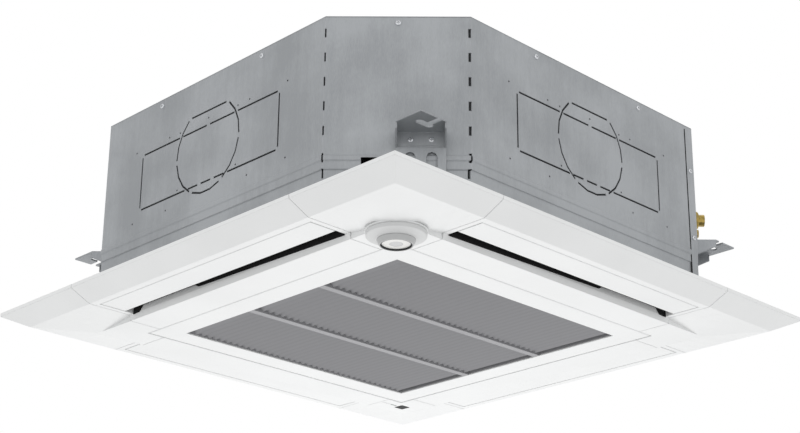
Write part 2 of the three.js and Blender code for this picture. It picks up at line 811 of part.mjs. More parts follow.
// Outline (outwards, z) of the pressed wall: drawn-in foot with an inward flange, step and bead.
function wallProfile() {
  const face = [
    [-lowerStep, cabinetBottom], [-lowerStep, stepHeight - 1.5], [0, stepHeight],
    [0, beadHeight - beadWidth / 2], [beadProud, beadHeight - beadWidth / 2 + 2],
    [beadProud, beadHeight + beadWidth / 2 - 2], [0, beadHeight + beadWidth / 2], [0, cabinetHeight - sheet - gap]
  ]
  const inside = face.slice(1).reverse().map(([o, z]) => [o - sheet, z])
  return [
    ...face, ...inside, [-lowerStep - sheet, cabinetBottom + sheet],
    [-lowerStep - bottomFlange, cabinetBottom + sheet], [-lowerStep - bottomFlange, cabinetBottom]
  ]
}

// One slit of a knock-out outline on the front wall, between two points (x, z).
function slit([x0, z0], [x1, z1]) {
  const length = Math.hypot(x1 - x0, z1 - z0)
  const bar = new THREE.BoxGeometry(length, 12, knockSlot)
  bar.rotateY(-Math.atan2(z1 - z0, x1 - x0))
  return bar.translate((x0 + x1) / 2, -cabinetHalf, (z0 + z1) / 2)
}

// Splits a straight run into slits with bridges between them.
function slits(from, to, count) {
  const [ax, az] = from
  const length = Math.hypot(to[0] - ax, to[1] - az)
  const [ux, uz] = [(to[0] - ax) / length, (to[1] - az) / length]
  const pitch = length / count
  return Array.from({ length: count }, (_, i) => {
    const a = i * pitch + knockBridge / 2
    const b = (i + 1) * pitch - knockBridge / 2
    return slit([ax + ux * a, az + uz * a], [ax + ux * b, az + uz * b])
  })
}

// Knock-outs of a wall: a fresh-air slot crossed by a round duct opening with a flat top.
function knockOuts() {
  const half = (z) => Math.sqrt(knockRadius ** 2 - (z - knockCentre) ** 2)
  const tools = []
  for (const s of [-1, 1]) {
    tools.push(...slits([s * half(knockTop), knockTop], [s * knockHalfWidth, knockTop], 1))
    tools.push(...slits([s * half(knockBottom), knockBottom], [s * knockHalfWidth, knockBottom], 1))
    tools.push(...slits([s * knockHalfWidth, knockBottom], [s * knockHalfWidth, knockTop], 1))
  }
  tools.push(...slits([-half(knockTop), knockTop], [half(knockTop), knockTop], 2))
  tools.push(...slits([-half(knockBottom), knockBottom], [half(knockBottom), knockBottom], 3))
  const flatHalf = half(knockFlat)
  tools.push(...slits([-flatHalf, knockFlat], [flatHalf, knockFlat], 1))
  const flatAngle = THREE.MathUtils.radToDeg(Math.asin((knockFlat - knockCentre) / knockRadius))
  const sweepAngle = 180 + 2 * flatAngle
  const arcs = 5
  const trim = THREE.MathUtils.radToDeg(knockBridge / 2 / knockRadius)
  for (let i = 0; i < arcs; i++) {
    const from = flatAngle - sweepAngle * i / arcs - trim
    const to = flatAngle - sweepAngle * (i + 1) / arcs + trim
    const outline = [
      ...arc(0, knockCentre, knockRadius + knockSlot / 2, from, to, 3),
      ...arc(0, knockCentre, knockRadius - knockSlot / 2, to, from, 3)
    ]
    tools.push(prism('y', outline, -cabinetHalf - 6, -cabinetHalf + 6))
  }
  return tools
}

// Pilot holes for the flanges that go over the knock-outs.
function flangePilots() {
  const places = pilotHoles.flatMap(([x, z]) => [[-x, z], [x, z]])
  places.push([0, middlePilotHeight])
  return places.map(([x, z]) => rod('y', x, z, pilotRadius, -cabinetHalf - 6, -cabinetHalf + 6, 6))
}

// Relief slots along the two bends of the chamfer between the front and the right wall.
function bendReliefs() {
  const heights = [0, 1, 2, 3, 4].map(i => THREE.MathUtils.lerp(reliefLow, cabinetHeight - reliefInset,
    i / 4))
  heights.push(beadHeight, stepHeight - 7)
  const flat = cabinetHalf - chamfer
  return heights.flatMap(z => [
    new THREE.BoxGeometry(reliefWidth, 12, reliefHeight).rotateZ(Math.PI / 8).translate(flat, -cabinetHalf, z),
    new THREE.BoxGeometry(12, reliefWidth, reliefHeight).rotateZ(Math.PI / 8).translate(cabinetHalf, -flat, z)
  ])
}

// Cable way low in the chamfer, beside the hanger.
function cableWay() {
  const slot = box(-51, 1, -chamferDistance - 6, -chamferDistance + 6, 60, 71.5)
  return slot.rotateZ(Math.PI / 4)
}

// Sheet bent round two walls and the chamfer between them, made for front and right.
function wrapWall(...holes) {
  const flat = cabinetHalf - chamfer
  const path = [[-flat + gap, -cabinetHalf], [flat, -cabinetHalf], [cabinetHalf, -flat],
    [cabinetHalf, flat - wallJoint]]
  const wall = sweep(path, wallProfile(), false)
  return cut(wall, ...bendReliefs(), ...holes)
}

// Plate on a chamfer, drawn in behind the two walls that it joins. Made for the front left corner.
function leftCornerPlate(grow = 0) {
  const end = -leftPlateTurn + wallJoint + grow
  const path = [[-leftPlateHalf, end], [-leftPlateHalf, -leftPlateTurn], [-leftPlateTurn, -leftPlateHalf],
    [end, -leftPlateHalf]]
  const low = cabinetBottom + sheet + gap
  const high = cabinetHeight - sheet - gap - topFlange - gap + grow
  return sweep(path, [[10 * grow, low], [10 * grow, high], [-sheet - grow, high], [-sheet - grow, low]],
    false)
}

// Direction pairs of the pipe corner: out along the diagonal and aside along the chamfer.
const diagonal = (out, aside) => [(out + aside) / Math.SQRT2, (out - aside) / Math.SQRT2]

// Flush plate on the pipe corner, with inner straps behind the two walls and the pipe window.
function pipeCornerPlate() {
  const flat = cabinetHalf - chamfer
  const start = flat - wallJoint + gap
  const top = cabinetHeight - sheet - gap
  const plate = sweep([[cabinetHalf, start], [cabinetHalf, flat], [flat, cabinetHalf], [start, cabinetHalf]],
    [[0, beadHeight + beadWidth], [0, top], [-sheet, top], [-sheet, beadHeight + beadWidth]], false)
  const foot = sweep([[cabinetHalf, start], [cabinetHalf, flat], [flat, cabinetHalf], [start, cabinetHalf]],
    [[-lowerStep, cabinetBottom], [-lowerStep, stepHeight], [0, beadHeight + beadWidth],
      [-sheet, beadHeight + beadWidth],
      [-lowerStep - sheet, stepHeight], [-lowerStep - sheet, cabinetBottom]], false)
  const straps = [0, 1].map(k => {
    const strap = [
      [start - 14, -gap], [start - 14, -gap - sheet], [start + 8, -gap - sheet], [start + 8, 0], [start, 0], [start, -gap]
    ]
    const z = [beadHeight + beadWidth + 4, cabinetHeight - topFlange - 6]
    const right = prism('z', strap.map(([along, deep]) => [cabinetHalf - sheet + deep, along]), ...z)
    const rear = prism('z', strap.map(([along, deep]) => [along, cabinetHalf - sheet + deep]), ...z)
    return k ? rear : right
  })
  const window = box(chamferDistance - 8, chamferDistance + 8, -pipeAside - 22, pipeAside + 22,
    pipeHeight - 26, pipeHeight + 26).rotateZ(Math.PI / 4)
  return cut(join(plate, foot, ...straps), window)
}

function topPlate() {
  const inset = sheet + gap
  const low = cabinetHeight - topFlange
  const flange = sweep(octagon(inset),
    [[0, low], [0, cabinetHeight], [-sheet, cabinetHeight], [-sheet, low]], true)
  const lid = prism('z', octagon(0), cabinetHeight - sheet, cabinetHeight)
  const beads = []
  for (let k = 0; k < 4; k++) {
    const bar = [[-270, 0], [-262, 2], [-142, 2], [-134, 0]]
    for (const y of [-topBeadAside, topBeadAside]) {
      beads.push(onSide(k, prism('y', bar.map(([a, z]) => [a - 60, cabinetHeight + z - 0.5]), y - 6, y + 6)))
    }
  }
  const ring = revolve([[112, cabinetHeight - 0.5], [114, cabinetHeight + 2],
    [122, cabinetHeight + 2], [124, cabinetHeight - 0.5]], 20)
  return join(lid, flange, ring, ...beads)
}

// Hanger bracket in its own frame: x along the chamfer, -y outwards from the wall, z up.
function hangerBracket(seatAt) {
  const half = bracketWidth / 2
  const t = bracketSheet
  const reach = bracketTip - seatAt
  const boltAside = (boltX - boltY) / Math.SQRT2 - bracketAside
  const boltOut = (boltX + boltY) / Math.SQRT2 - seatAt
  const plate = box(-half, half, -t, 0, bracketBottom, tabHeight)
  const tabOutline = [[-half, 0], [-half, -reach + half], [0, -reach], [half, -reach + half], [half, 0]]
  const tab = prism('z', tabOutline, tabHeight, tabHeight + t)
  const seat = [boltAside, -boltOut]
  const run = (x, y, length) => box(x - boltSlot / 2, x + boltSlot / 2, y, y + length, tabHeight - 1,
    tabHeight + t + 1)
  const level = rod('z', 0, 0, boltSlot / 2, tabHeight - 1, tabHeight + t + 1, 8)
  const slot = join(run(0, 0, boltSlotRun), level, level.clone().translate(0, boltSlotRun, 0),
    box(0, reach, boltSlotRun / 2, boltSlotRun / 2 + boltMouth, tabHeight - 1, tabHeight + t + 1))
    .rotateZ(-Math.PI / 4).translate(seat[0], seat[1], 0)
  const gussets = [-1, 1].map(s => {
    const [a, b] = [s * (half - t), s * half].sort((p, q) => p - q)
    return prism('x', [[0, tabHeight - gussetHeight], [-0.3 * gussetHeight, tabHeight - 0.85 * gussetHeight],
      [-reach + half, tabHeight - 0.35 * gussetHeight],
      [-reach + half, tabHeight + t], [0, tabHeight + t]], a, b)
  })
  const arches = [-1, 1].map(s => prism('y', [
    ...arc(s * archOffset, archHigh, archRadius, 0, 180, 4), ...arc(s * archOffset, archLow, archRadius,
      180, 360, 3)
  ], -t - 1, 1))
  const fold = box(-half - 1, half + 1, -t - 1, -t + 0.7, foldHeight - 1.5, foldHeight + 1.5)
  return cut(join(plate, tab, ...gussets), slot, ...arches, fold)
}

// Foam inside the walls, hollowed where the corner plates lap over the walls.
function wallLiner() {
  const inset = sheet + gap
  const liner = sweep(octagon(inset), [
    [0, panTop + 18], [0, cabinetHeight - topFlange - gap], [-linerThickness,
      cabinetHeight - topFlange - gap],
    [-linerThickness, panTop + 18]
  ], true)
  const window = box(chamferDistance - 20, chamferDistance + 8, -pipeAside - 24, pipeAside + 24,
    pipeHeight - 28, pipeHeight + 28).rotateZ(Math.PI / 4)
  const drain = rod('y', socketX, socketHeight, socketRadius + 2, cabinetHalf - 30, cabinetHalf, 16)
  const start = cabinetHalf - chamfer - wallJoint
  const strap = box(cabinetHalf - 2 * sheet - 3 * gap, cabinetHalf, start - 15, cabinetHalf - chamfer + 9,
    panTop, cabinetHeight - topFlange)
  return cut(liner, leftCornerPlate(gap), strap, otherHand(strap), window, drain)
}

// ---- drain pan, bell mouth ----

function chamferedSquare(half, cornerCut) {
  const a = half - cornerCut
  return [[-a, -half], [a, -half], [half, -a], [half, a], [a, half], [-a, half], [-half, a], [-half, -a]]
}

function coilPath(end) {
  const c = coilHalf - coilCorner
  const bend = (x, y, from) => arc(x, y, coilCorner, from, from + 90, 4)
  return [[end, coilHalf], ...bend(-c, c, 90), ...bend(-c, -c, 180), ...bend(c, -c, 270), [coilHalf, end]]
}

const panBottom = cabinetBottom + sheet + gap
const panInset = lowerStep + sheet + 2 * gap + sheet

function drainPan() {
  const outer = prism('z', octagon(panInset), panBottom, panTop)
  const opening = prism('z', chamferedSquare(panOpening, panCornerCut), panBottom - 1, panTop + 1)
  const ledge = prism('z', chamferedSquare(panOpening + ledgeWidth, panCornerCut), ledgeHeight, panTop + 1)
  const trough = sweep(coilPath(coilEnd + 8), [
    [-troughWidth / 2, panTop + 1], [-troughWidth / 2, panTop - troughDepth],
    [troughWidth / 2, panTop - troughDepth], [troughWidth / 2, panTop + 1]
  ], false)
  const sump = rod('z', pumpPlace, pumpPlace, pumpRadius + 4, ledgeHeight - 4, panTop + 1, 14)
  const floatPit = box(floatX - 26, floatX + 22, coilEnd - 4, floatY + 26, panTop - troughDepth, panTop + 1)
  const link = box(pumpPlace, floatX, floatY, pumpPlace + 12, panTop - troughDepth, panTop + 1)
  const ducts = []
  for (let k = 0; k < 4; k++) {
    const far = cabinetHalf - lowerStep - bottomFlange - gap
    ducts.push(onSide(k, box(-outletHalf + 8, outletHalf - 8, -far, -outletInner - 2, panBottom - 1,
      panTop + 1)))
  }
  const plugHole = rod('z', -pumpPlace - 12, -pumpPlace - 12, plugRadius + gap, panBottom - 1, panTop + 1, 14)
  return cut(outer, opening, ledge, trough, sump, floatPit, link, ...ducts, plugHole)
}

function drainPlug() {
  return revolve([
    [0, panBottom + 2], [plugRadius - 3, panBottom + 2], [plugRadius - 2, panBottom], [plugRadius, panBottom],
    [plugRadius, panBottom + 24], [plugRadius - 4, panBottom + 30], [0, panBottom + 30]
  ], 14).translate(-pumpPlace - 12, -pumpPlace - 12, 0)
}

function bellMouth() {
  const low = ledgeHeight + gap
  const outline = chamferedSquare(panOpening + ledgeWidth - gap * 2, panCornerCut)
  const plate = cut(prism('z', outline, low, low + bellPlate),
    rod('z', 0, 0, bellFlare - 1, low - 1, low + bellPlate + 1, 24))
  const steps = 3
  const wall = (shift) => Array.from({ length: steps + 1 }, (_, i) => {
    const angle = Math.PI / 2 * i / steps
    const rise = bellTop - 14 - low
    return [bellFlare + shift - (bellFlare - bellThroat) * Math.sin(angle),
      low + shift + rise * (1 - Math.cos(angle))]
  })
  const inner = wall(0)
  const outer = wall(bellPlate).reverse()
  const flare = revolve([...inner, [bellThroat, bellTop], [bellThroat + bellPlate, bellTop], ...outer], 24)
  return join(plate, flare)
}

// ---- heat exchanger and pipes ----

function heatExchanger() {
  const low = panTop - troughDepth + gap
  const half = coilDepth / 2
  const block = sweep(coilPath(coilEnd), [[-half, low], [half, low], [half, coilTop], [-half, coilTop]],
    false)
  const pieces = [block]
  const sheetEnd = coilEnd + coilPlate
  pieces.push(box(coilHalf - half - 3, coilHalf + half + 3, coilEnd - 0.5, sheetEnd, low, coilTop))
  pieces.push(box(coilEnd - 0.5, sheetEnd, coilHalf - half - 3, coilHalf + half + 3, low, coilTop))
  for (const rise of bendRises) {
    for (const swap of [false, true]) {
      const bend = arc(0, 0, bendRadius, 0, 180, 4).map(([a, b]) => [0, sheetEnd - 1 + b,
        pipeHeight + rise + a])
      const tube = pipe(bend, bendTube, 4, 6)
      tube.translate(coilHalf, 0, 0)
      pieces.push(swap ? otherHand(tube) : tube)
    }
  }
  return join(...pieces)
}

// Plate that closes the open corner of the heat exchanger towards the fan.
function coilPartition() {
  const a = coilHalf - coilDepth / 2 - 3 - gap
  const b = coilEnd + coilPlate
  const path = [[a, coilEnd - 20], [a, b], [b, a], [coilEnd - 20, a]]
  return sweep(path, [[0, panTop + gap], [0, coilTop], [-partitionSheet, coilTop],
    [-partitionSheet, panTop + gap]], false)
}

// Stub from the heat exchanger's end through the pipe corner, on the right wall's side.
function cornerPipe(radius) {
  const from = coilHalf + 8
  const [px, py] = diagonal(chamferDistance + 4, pipeAside)
  const turn = py - (px - from)
  return pipe([
    [from, coilEnd + coilPlate + gap,
      pipeHeight], [from, turn - 30, pipeHeight], [from + 2, turn - 6, pipeHeight],
    [from + 9, turn + 9, pipeHeight], [px - 14, py - 14, pipeHeight], [px, py, pipeHeight]
  ], radius, 8, 8)
}

// Flare nut with its stub, along x, from the end of the pipe.
function flareNut(pipeRadius, acrossHalf) {
  const hex = circle(0, 0, acrossHalf / Math.cos(Math.PI / 6), 6)
  const nut = common(prism('x', hex, 0, nutLength * 0.6), revolveAlongX([
    [acrossHalf * 0.95, -1], [acrossHalf * 1.16, 3], [acrossHalf * 1.16,
      nutLength * 0.6 - 3], [acrossHalf * 0.95, nutLength * 0.6 + 1]
  ]))
  const collar = rod('x', 0, 0, pipeRadius + 2.2, nutLength * 0.6 - 1, nutLength, 10)
  const bore = rod('x', 0, 0, pipeRadius + gap, -1, nutLength * 0.35, 12)
  return cut(join(nut, collar), bore)
}

function revolveAlongX(profile) {
  const low = profile[0][1]
  const high = profile[profile.length - 1][1]
  const lathe = revolve([[0, low], ...profile, [0, high]], 12)
  return weld(lathe.rotateY(Math.PI / 2))
}

// ---- fan ----

function fanMotor() {
  const bore = shaftRadius + runningGap
  const can = revolve([
    [bore, fanMotorBottom], [30, fanMotorBottom], [34, fanMotorBottom + 4], [fanMotorRadius - 8,
      fanMotorBottom + 8],
    [fanMotorRadius, fanMotorBottom +
      16], [fanMotorRadius, fanMotorTop - 10], [fanMotorRadius - 10, fanMotorTop],
    [0, fanMotorTop], [0, fanMotorTop - 20], [bore, fanMotorTop - 20]
  ], 20)
  const arms = [0, 1, 2].map(i => box(fanMotorRadius - 4, mountRadius + 9, -9, 9, fanTop + 6, fanTop + 9)
    .rotateZ(i * Math.PI * 2 / 3 + Math.PI / 2))
  return join(can, ...arms)
}

// Rubber-bushed ring that hangs the motor's three arms from the top plate.
function motorHanger() {
  const low = fanTop + 9 + gap
  const top = cabinetHeight - sheet - gap
  const posts = [0, 1, 2].map(i => rod('z', mountRadius, 0, 9, low, top,
    10).rotateZ(i * Math.PI * 2 / 3 + Math.PI / 2))
  const ring = revolve([[mountRadius - 12, top - 3], [mountRadius + 12, top - 3], [mountRadius + 12, top],
    [mountRadius - 12, top]], 20)
  return join(ring, ...posts)
}

function topInsulation() {
  const outline = octagon(2 * sheet + 3 * gap)
  const top = cabinetHeight - sheet - gap
  const pad = prism('z', outline, top - topFoam, top)
  return cut(pad, rod('z', 0, 0, mountRadius + 14, top - topFoam - 1, top + 1, 20))
}

function fanShaft() {
  return rod('z', 0, 0, shaftRadius, hubBottom - 12, fanMotorTop - 20 - gap, 12)
}

function turboFan() {
  const dome = revolve([
    [shaftRadius + gap, hubBottom], [hubRadius, hubBottom], [hubRadius, hubBottom + 12],
    [fanDomeRadius - 8, hubBottom + 22], [fanDomeRadius, hubBottom + 34], [fanDomeRadius, fanTop - fanWall],
    [fanRadius, fanTop - fanWall], [fanRadius, fanTop], [fanDomeRadius - fanWall, fanTop],
    [fanDomeRadius - fanWall, hubBottom + 35], [fanDomeRadius - 10, hubBottom + 24],
    [hubRadius, hubBottom + 15], [shaftRadius + gap, hubBottom + 15]
  ], 20)
  const eye = [
    [shroudEye, shroudBottom], [shroudEye + 4, shroudBottom + 14], [shroudEye + 20, shroudBottom + 26],
    [fanRadius, shroudOuterHeight]
  ]
  const shroud = revolve([...eye, ...eye.map(([r, z]) => [r, z + fanWall]).reverse()
    .map(([r, z], i, all) => (i === all.length - 1 ? [r + fanWall, z - fanWall] : [r, z]))], 20)
  const bladeFoot = bellTop + 5
  const inside = revolve([
    [fanBladeInner - 20, bladeFoot], [shroudEye + 2.5, bladeFoot], ...eye.slice(1).map(([r, z]) =>
      [r, z + 1]),
    [fanRadius, fanTop - 1], [fanBladeInner - 20, fanTop - 1]
  ], 20)
  const blades = Array.from({ length: fanBlades }, (_, i) => {
    const outline = bladeOutline()
    return common(prism('z', outline, shroudBottom, fanTop).rotateZ(i * Math.PI * 2 / fanBlades), inside)
  })
  return join(dome, shroud, ...blades)
}

// Backward-curved blade: an arc from the eye to the rim, thickest in its middle.
function bladeOutline() {
  const steps = 3
  const line = t => {
    const r = THREE.MathUtils.lerp(fanBladeInner - 12, fanRadius - 3, t)
    const angle = -0.75 * t + 0.12 * t * t
    return [r * Math.cos(angle), r * Math.sin(angle)]
  }
  const sides = [1, -1].map(s => Array.from({ length: steps + 1 }, (_, i) => {
    const t = i / steps
    const [x, y] = line(t)
    const [nx, ny] = line(t + 0.01)
    const length = Math.hypot(nx - x, ny - y)
    const half = s * (0.9 + 4.2 * t ** 0.5 * (1 - t))
    return [x - (ny - y) / length * half, y + (nx - x) / length * half]
  }))
  return [...sides[0], ...sides[1].reverse()]
}

function fanNut() {
  const low = hubBottom - gap - 7
  return cut(prism('z', circle(0, 0, 10, 6), low, low + 7),
    rod('z', 0, 0, shaftRadius + gap, low - 1, low + 8, 12))
}

// ---- controls ----

const boxTop = ledgeHeight

function controlBox() {
  const outer = box(-boxHalfLength, boxHalfLength, boxFront, boxBack, boxTop - boxDepth, boxTop)
  const inner = box(-boxHalfLength + boxSheet, boxHalfLength - boxSheet, boxFront + boxSheet,
    boxBack - boxSheet,
    boxTop - boxDepth - 1, boxTop - boxSheet)
  const posts = [-1, 1].flatMap(s => [boxFront + 14, boxBack - 14].map(y =>
    rod('z', s * (boxHalfLength - 40), y, 3, boxTop - 9, boxTop - boxSheet + 0.5, 10)))
  return join(cut(outer, inner), ...posts)
}

function controlCover() {
  const low = boxTop - boxDepth - gap - boxSheet
  const lid = box(-boxHalfLength - 1.5, boxHalfLength + 1.5, boxFront - 1.5, boxBack + 1.5, low,
    low + boxSheet)
  const ribs = [-0.5, 0, 0.5].map(t => box(t * boxHalfLength - 30, t * boxHalfLength + 30, boxFront + 18,
    boxBack - 18, low - 1.2, low + 0.5))
  return join(lid, ...ribs)
}

function circuitBoard() {
  const top = boxTop - 9 - gap
  const low = top - boardHeight
  const board = box(-boxHalfLength + 30, boxHalfLength - 30, boxFront + 6, boxBack - 6, low, top)
  const parts = [[-55, 13, 17, 12, 7], [-30, 23, 11, 11, 8], [-10, 11, 15, 9, 4], [15, 20, 13, 13, 6],
    [39, 9, 22, 7, 5], [42, 25, 15, 8, 4]].map(sizes =>
      sizes.map(n => n * boardGrid)).map(([x, y, w, d, h]) =>
    box(x, x + w, boxFront + y, boxFront + y + d, low - h, low + 0.5))
  return join(board, ...parts)
}

// ---- drain pump ----

function drainPump() {
  const chamber = impellerRadius + 2
  const shell = revolve([
    [chamber, pumpBottom], [chamber + 3, pumpBottom], [chamber + 3, pumpBottom + 22], [pumpRadius, pumpBottom + 30],
    [pumpRadius, pumpTop - 6], [pumpRadius - 6, pumpTop], [0, pumpTop], [0, pumpBottom + pumpChamber], [chamber, pumpBottom + pumpChamber]
  ], 14)
  const outlet = rod('y', 0, pumpTop - 20, hoseRadius - 2.5, pumpRadius - 4, pumpRadius + 18, 10)
  const feet = [0, 1, 2].map(i => box(chamber - 0.5, chamber + 8, -2, 2, ledgeHeight - 4 + gap,
    pumpBottom + 20)
    .rotateZ(i * Math.PI * 2 / 3 + 0.5))
  return join(shell, outlet, ...feet)
}

function pumpImpeller() {
  const low = pumpBottom + 1.5
  const hub = revolve([[0, low], [4, low], [4, low + 12], [impellerRadius, low + 12],
    [impellerRadius, low + 14],
    [3, low + 14], [3, pumpBottom + pumpChamber - gap], [0, pumpBottom + pumpChamber - gap]], 12)
  const vanes = [0, 1, 2, 3].map(i => box(2, impellerRadius - 0.5, -0.8, 0.8, low + 3,
    low + 13).rotateZ(i * Math.PI / 2))
  return join(hub, ...vanes)
}

function drainHose() {
  const z = pumpTop - 20
  const startY = pumpPlace + pumpRadius + 4
  const tube = pipe([
    [pumpPlace, startY, z], [pumpPlace, startY + 10, z], [pumpPlace - 3, startY + 24, z + 10],
    [pumpPlace - 14, startY + 34, z + 32], [socketX + 10, cabinetHalf - 50, socketHeight - 14],
    [socketX, cabinetHalf - 36, socketHeight], [socketX, cabinetHalf - 22, socketHeight]
  ], hoseRadius, 11, 8)
  return cut(tube, rod('y', pumpPlace, z, hoseRadius - 2.5 + gap, startY - 2, startY + 15, 10))
}

function drainSocket() {
  const inside = cabinetHalf - 22 + gap
  const flangeAt = cabinetHalf + gap
  const barrel = [
    [hoseRadius - 2, inside], [socketRadius - 3, inside], [socketRadius - 3, flangeAt], [socketRadius + 6, flangeAt],
    [socketRadius + 6, flangeAt + 2.5], [socketRadius, flangeAt + 2.5], [socketRadius,
      cabinetHalf + socketReach],
    [socketRadius - 3, cabinetHalf +
      socketReach], [socketRadius - 3, flangeAt + 3], [hoseRadius - 2, flangeAt]
  ]
  return weld(revolve(barrel, 16).rotateX(-Math.PI / 2)).translate(socketX, 0, socketHeight)
}

function floatSwitch() {
  const low = panTop - troughDepth + gap
  const top = low + floatHeight + floatTravel + 6
  const stem = rod('z', floatX, floatY, 3.5, low, top + 6, 12)
  const foot = rod('z', floatX, floatY, 7, low, low + 1.5, 14)
  const head = rod('z', floatX, floatY, 8, top, top + 12, 16)
  const arm = box(floatX - 34, floatX, floatY - 4, floatY + 4, top + 8, top + 12)
  return join(stem, foot, head, arm)
}

function floatBall() {
  const low = panTop - troughDepth + gap + 1.5 + gap
  return revolve([
    [3.5 + runningGap, low], [floatRadius - 2, low], [floatRadius, low + 2.5], [floatRadius,
      low + floatHeight - 2.5],
    [floatRadius - 2, low + floatHeight], [3.5 + runningGap, low + floatHeight]
  ], 14)
}

// ---- the assembly ----

const cassette = new THREE.Group()

function place(parent, name, geometry, finish) {
  const flat = geometry.index ? geometry.toNonIndexed() : geometry
  flat.computeVertexNormals()
  const mesh = new THREE.Mesh(flat, new THREE.MeshStandardMaterial(finishes[finish]))
  mesh.name = name
  parent.add(mesh)
  return mesh
}

const sides = ['front', 'right', 'rear', 'left']
const corners = [
  ['front_right', 1, -1], ['rear_right', 1, 1], ['rear_left', -1, 1], ['front_left', -1, -1]
]

place(cassette, 'panel_frame', panelFrame(), 'white')
const coverMakers = { front_right: sensorCover, rear_left: receiverCover }
for (const [corner, sx, sy] of corners) {
  const maker = coverMakers[corner] ?? cornerCover
  place(cassette, 'corner_cover_' + corner, inCorner(sx, sy, maker()), 'white')
}
sides.forEach((side, k) => {
  const turn = new THREE.Group()
  turn.rotation.z = k * Math.PI / 2
  cassette.add(turn)
  place(turn, 'vane_' + side, vane(), 'white').position.set(0, -vanePivot, -vanePivotDepth)
  place(turn, 'vane_motor_' + side, vaneMotor(), 'dark').position.set(0, -vanePivot, -vanePivotDepth)
})

place(cassette, 'intake_grille', intakeGrille(), 'white')
place(cassette, 'grille_louvres', grilleLouvres(), 'grey')
place(cassette, 'air_filter', airFilter(), 'dark')
place(cassette, 'grille_catch_left', grilleCatch(), 'white').position.set(-catchX, -catchY, 0)
place(cassette, 'grille_catch_right', grilleCatch(), 'white').position.set(catchX, -catchY, 0)

const sensor = new THREE.Group()
sensor.position.set(sensorPlace, -sensorPlace, 0)
cassette.add(sensor)
place(sensor, 'sensor_housing', sensorHousing(), 'white')
place(sensor, 'sensor_head', sensorHead(), 'white')
place(sensor, 'sensor_lens', sensorLens(), 'white')

const receiver = (name, geometry, finish) => place(cassette, name, inCorner(-1, 1, geometry), finish)
receiver('receiver_board', receiverBoard(), 'board')
receiver('receiver_window', receiverWindow(), 'black')
receiver('status_lamps', statusLamps(), 'smoke')
receiver('cooling_button', button().translate(receiverX, buttonYs[0], 0), 'white')
receiver('heating_button', button().translate(receiverX, buttonYs[1], 0), 'white')

const socketHole = rod('y', socketX, socketHeight, socketRadius - 3 + gap, cabinetHalf - 6,
  cabinetHalf + 6, 24)
const airWays = [0, 1].flatMap(k => [...knockOuts(), ...flangePilots()].map(tool => onSide(k, tool)))
place(cassette, 'wall_front', wrapWall(...airWays, cableWay()), 'steel')
place(cassette, 'wall_rear', cut(otherHand(wrapWall()), socketHole), 'steel')
place(cassette, 'corner_plate_left', leftCornerPlate(), 'steel')
place(cassette, 'corner_plate_pipe', pipeCornerPlate(), 'steel')
place(cassette, 'top_plate', topPlate(), 'steel')

// Two of the hangers rest on the corner plates, which carry no bead.
const seats = { rear_right: chamferDistance + gap, front_left: leftPlateAt + gap }
for (const [corner, sx, sy] of corners) {
  const hand = sx * -sy
  const stand = new THREE.Group()
  stand.rotation.z = Math.atan2(sy, sx) + Math.PI / 2
  cassette.add(stand)
  const seatAt = seats[corner] ?? chamferDistance + beadProud + gap
  const bracket = place(stand, 'hanger_' + corner, hangerBracket(seatAt), 'steel')
  bracket.position.set(bracketAside * hand, -seatAt, 0)
  if (hand < 0) bracket.geometry = weld(bracket.geometry.scale(-1, 1, 1))
}

place(cassette, 'wall_liner', wallLiner(), 'darkFoam')
place(cassette, 'top_insulation', topInsulation(), 'foam')
place(cassette, 'drain_pan', drainPan(), 'darkFoam')
place(cassette, 'drain_plug', drainPlug(), 'rubber')
place(cassette, 'bell_mouth', bellMouth(), 'dark')
place(cassette, 'heat_exchanger', heatExchanger(), 'fin')
place(cassette, 'coil_partition', coilPartition(), 'steel')
place(cassette, 'gas_pipe', cornerPipe(gasPipeRadius), 'copper')
place(cassette, 'liquid_pipe', otherHand(cornerPipe(liquidPipeRadius)), 'copper')

for (const [name, radius, across, s] of [
  ['gas_flare_nut', gasPipeRadius, gasNut, 1], ['liquid_flare_nut', liquidPipeRadius, liquidNut, -1]
]) {
  const [x, y] = diagonal(chamferDistance + gap, s * pipeAside)
  const nut = place(cassette, name, flareNut(radius, across), 'brass')
  nut.position.set(x, y, pipeHeight)
  nut.rotation.z = Math.PI / 4
}

place(cassette, 'fan_motor', fanMotor(), 'dark')
place(cassette, 'motor_hanger', motorHanger(), 'steel')
place(cassette, 'fan_shaft', fanShaft(), 'steel')
place(cassette, 'turbo_fan', turboFan(), 'dark')
place(cassette, 'fan_nut', fanNut(), 'steel')

place(cassette, 'control_box', controlBox(), 'steel')
place(cassette, 'control_cover', controlCover(), 'steel')
place(cassette, 'circuit_board', circuitBoard(), 'board')

place(cassette, 'drain_pump', drainPump(), 'white').position.set(pumpPlace, pumpPlace, 0)
place(cassette, 'pump_impeller', pumpImpeller(), 'dark').position.set(pumpPlace, pumpPlace, 0)
place(cassette, 'drain_hose', drainHose(), 'smoke')
place(cassette, 'drain_socket', drainSocket(), 'white')
place(cassette, 'float_switch', floatSwitch(), 'dark')
place(cassette, 'float', floatBall(), 'foam').position.set(floatX, floatY, 0)

export default cassette
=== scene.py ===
import json
import math

import bmesh
import bpy
import numpy as np
from mathutils import Matrix, Vector


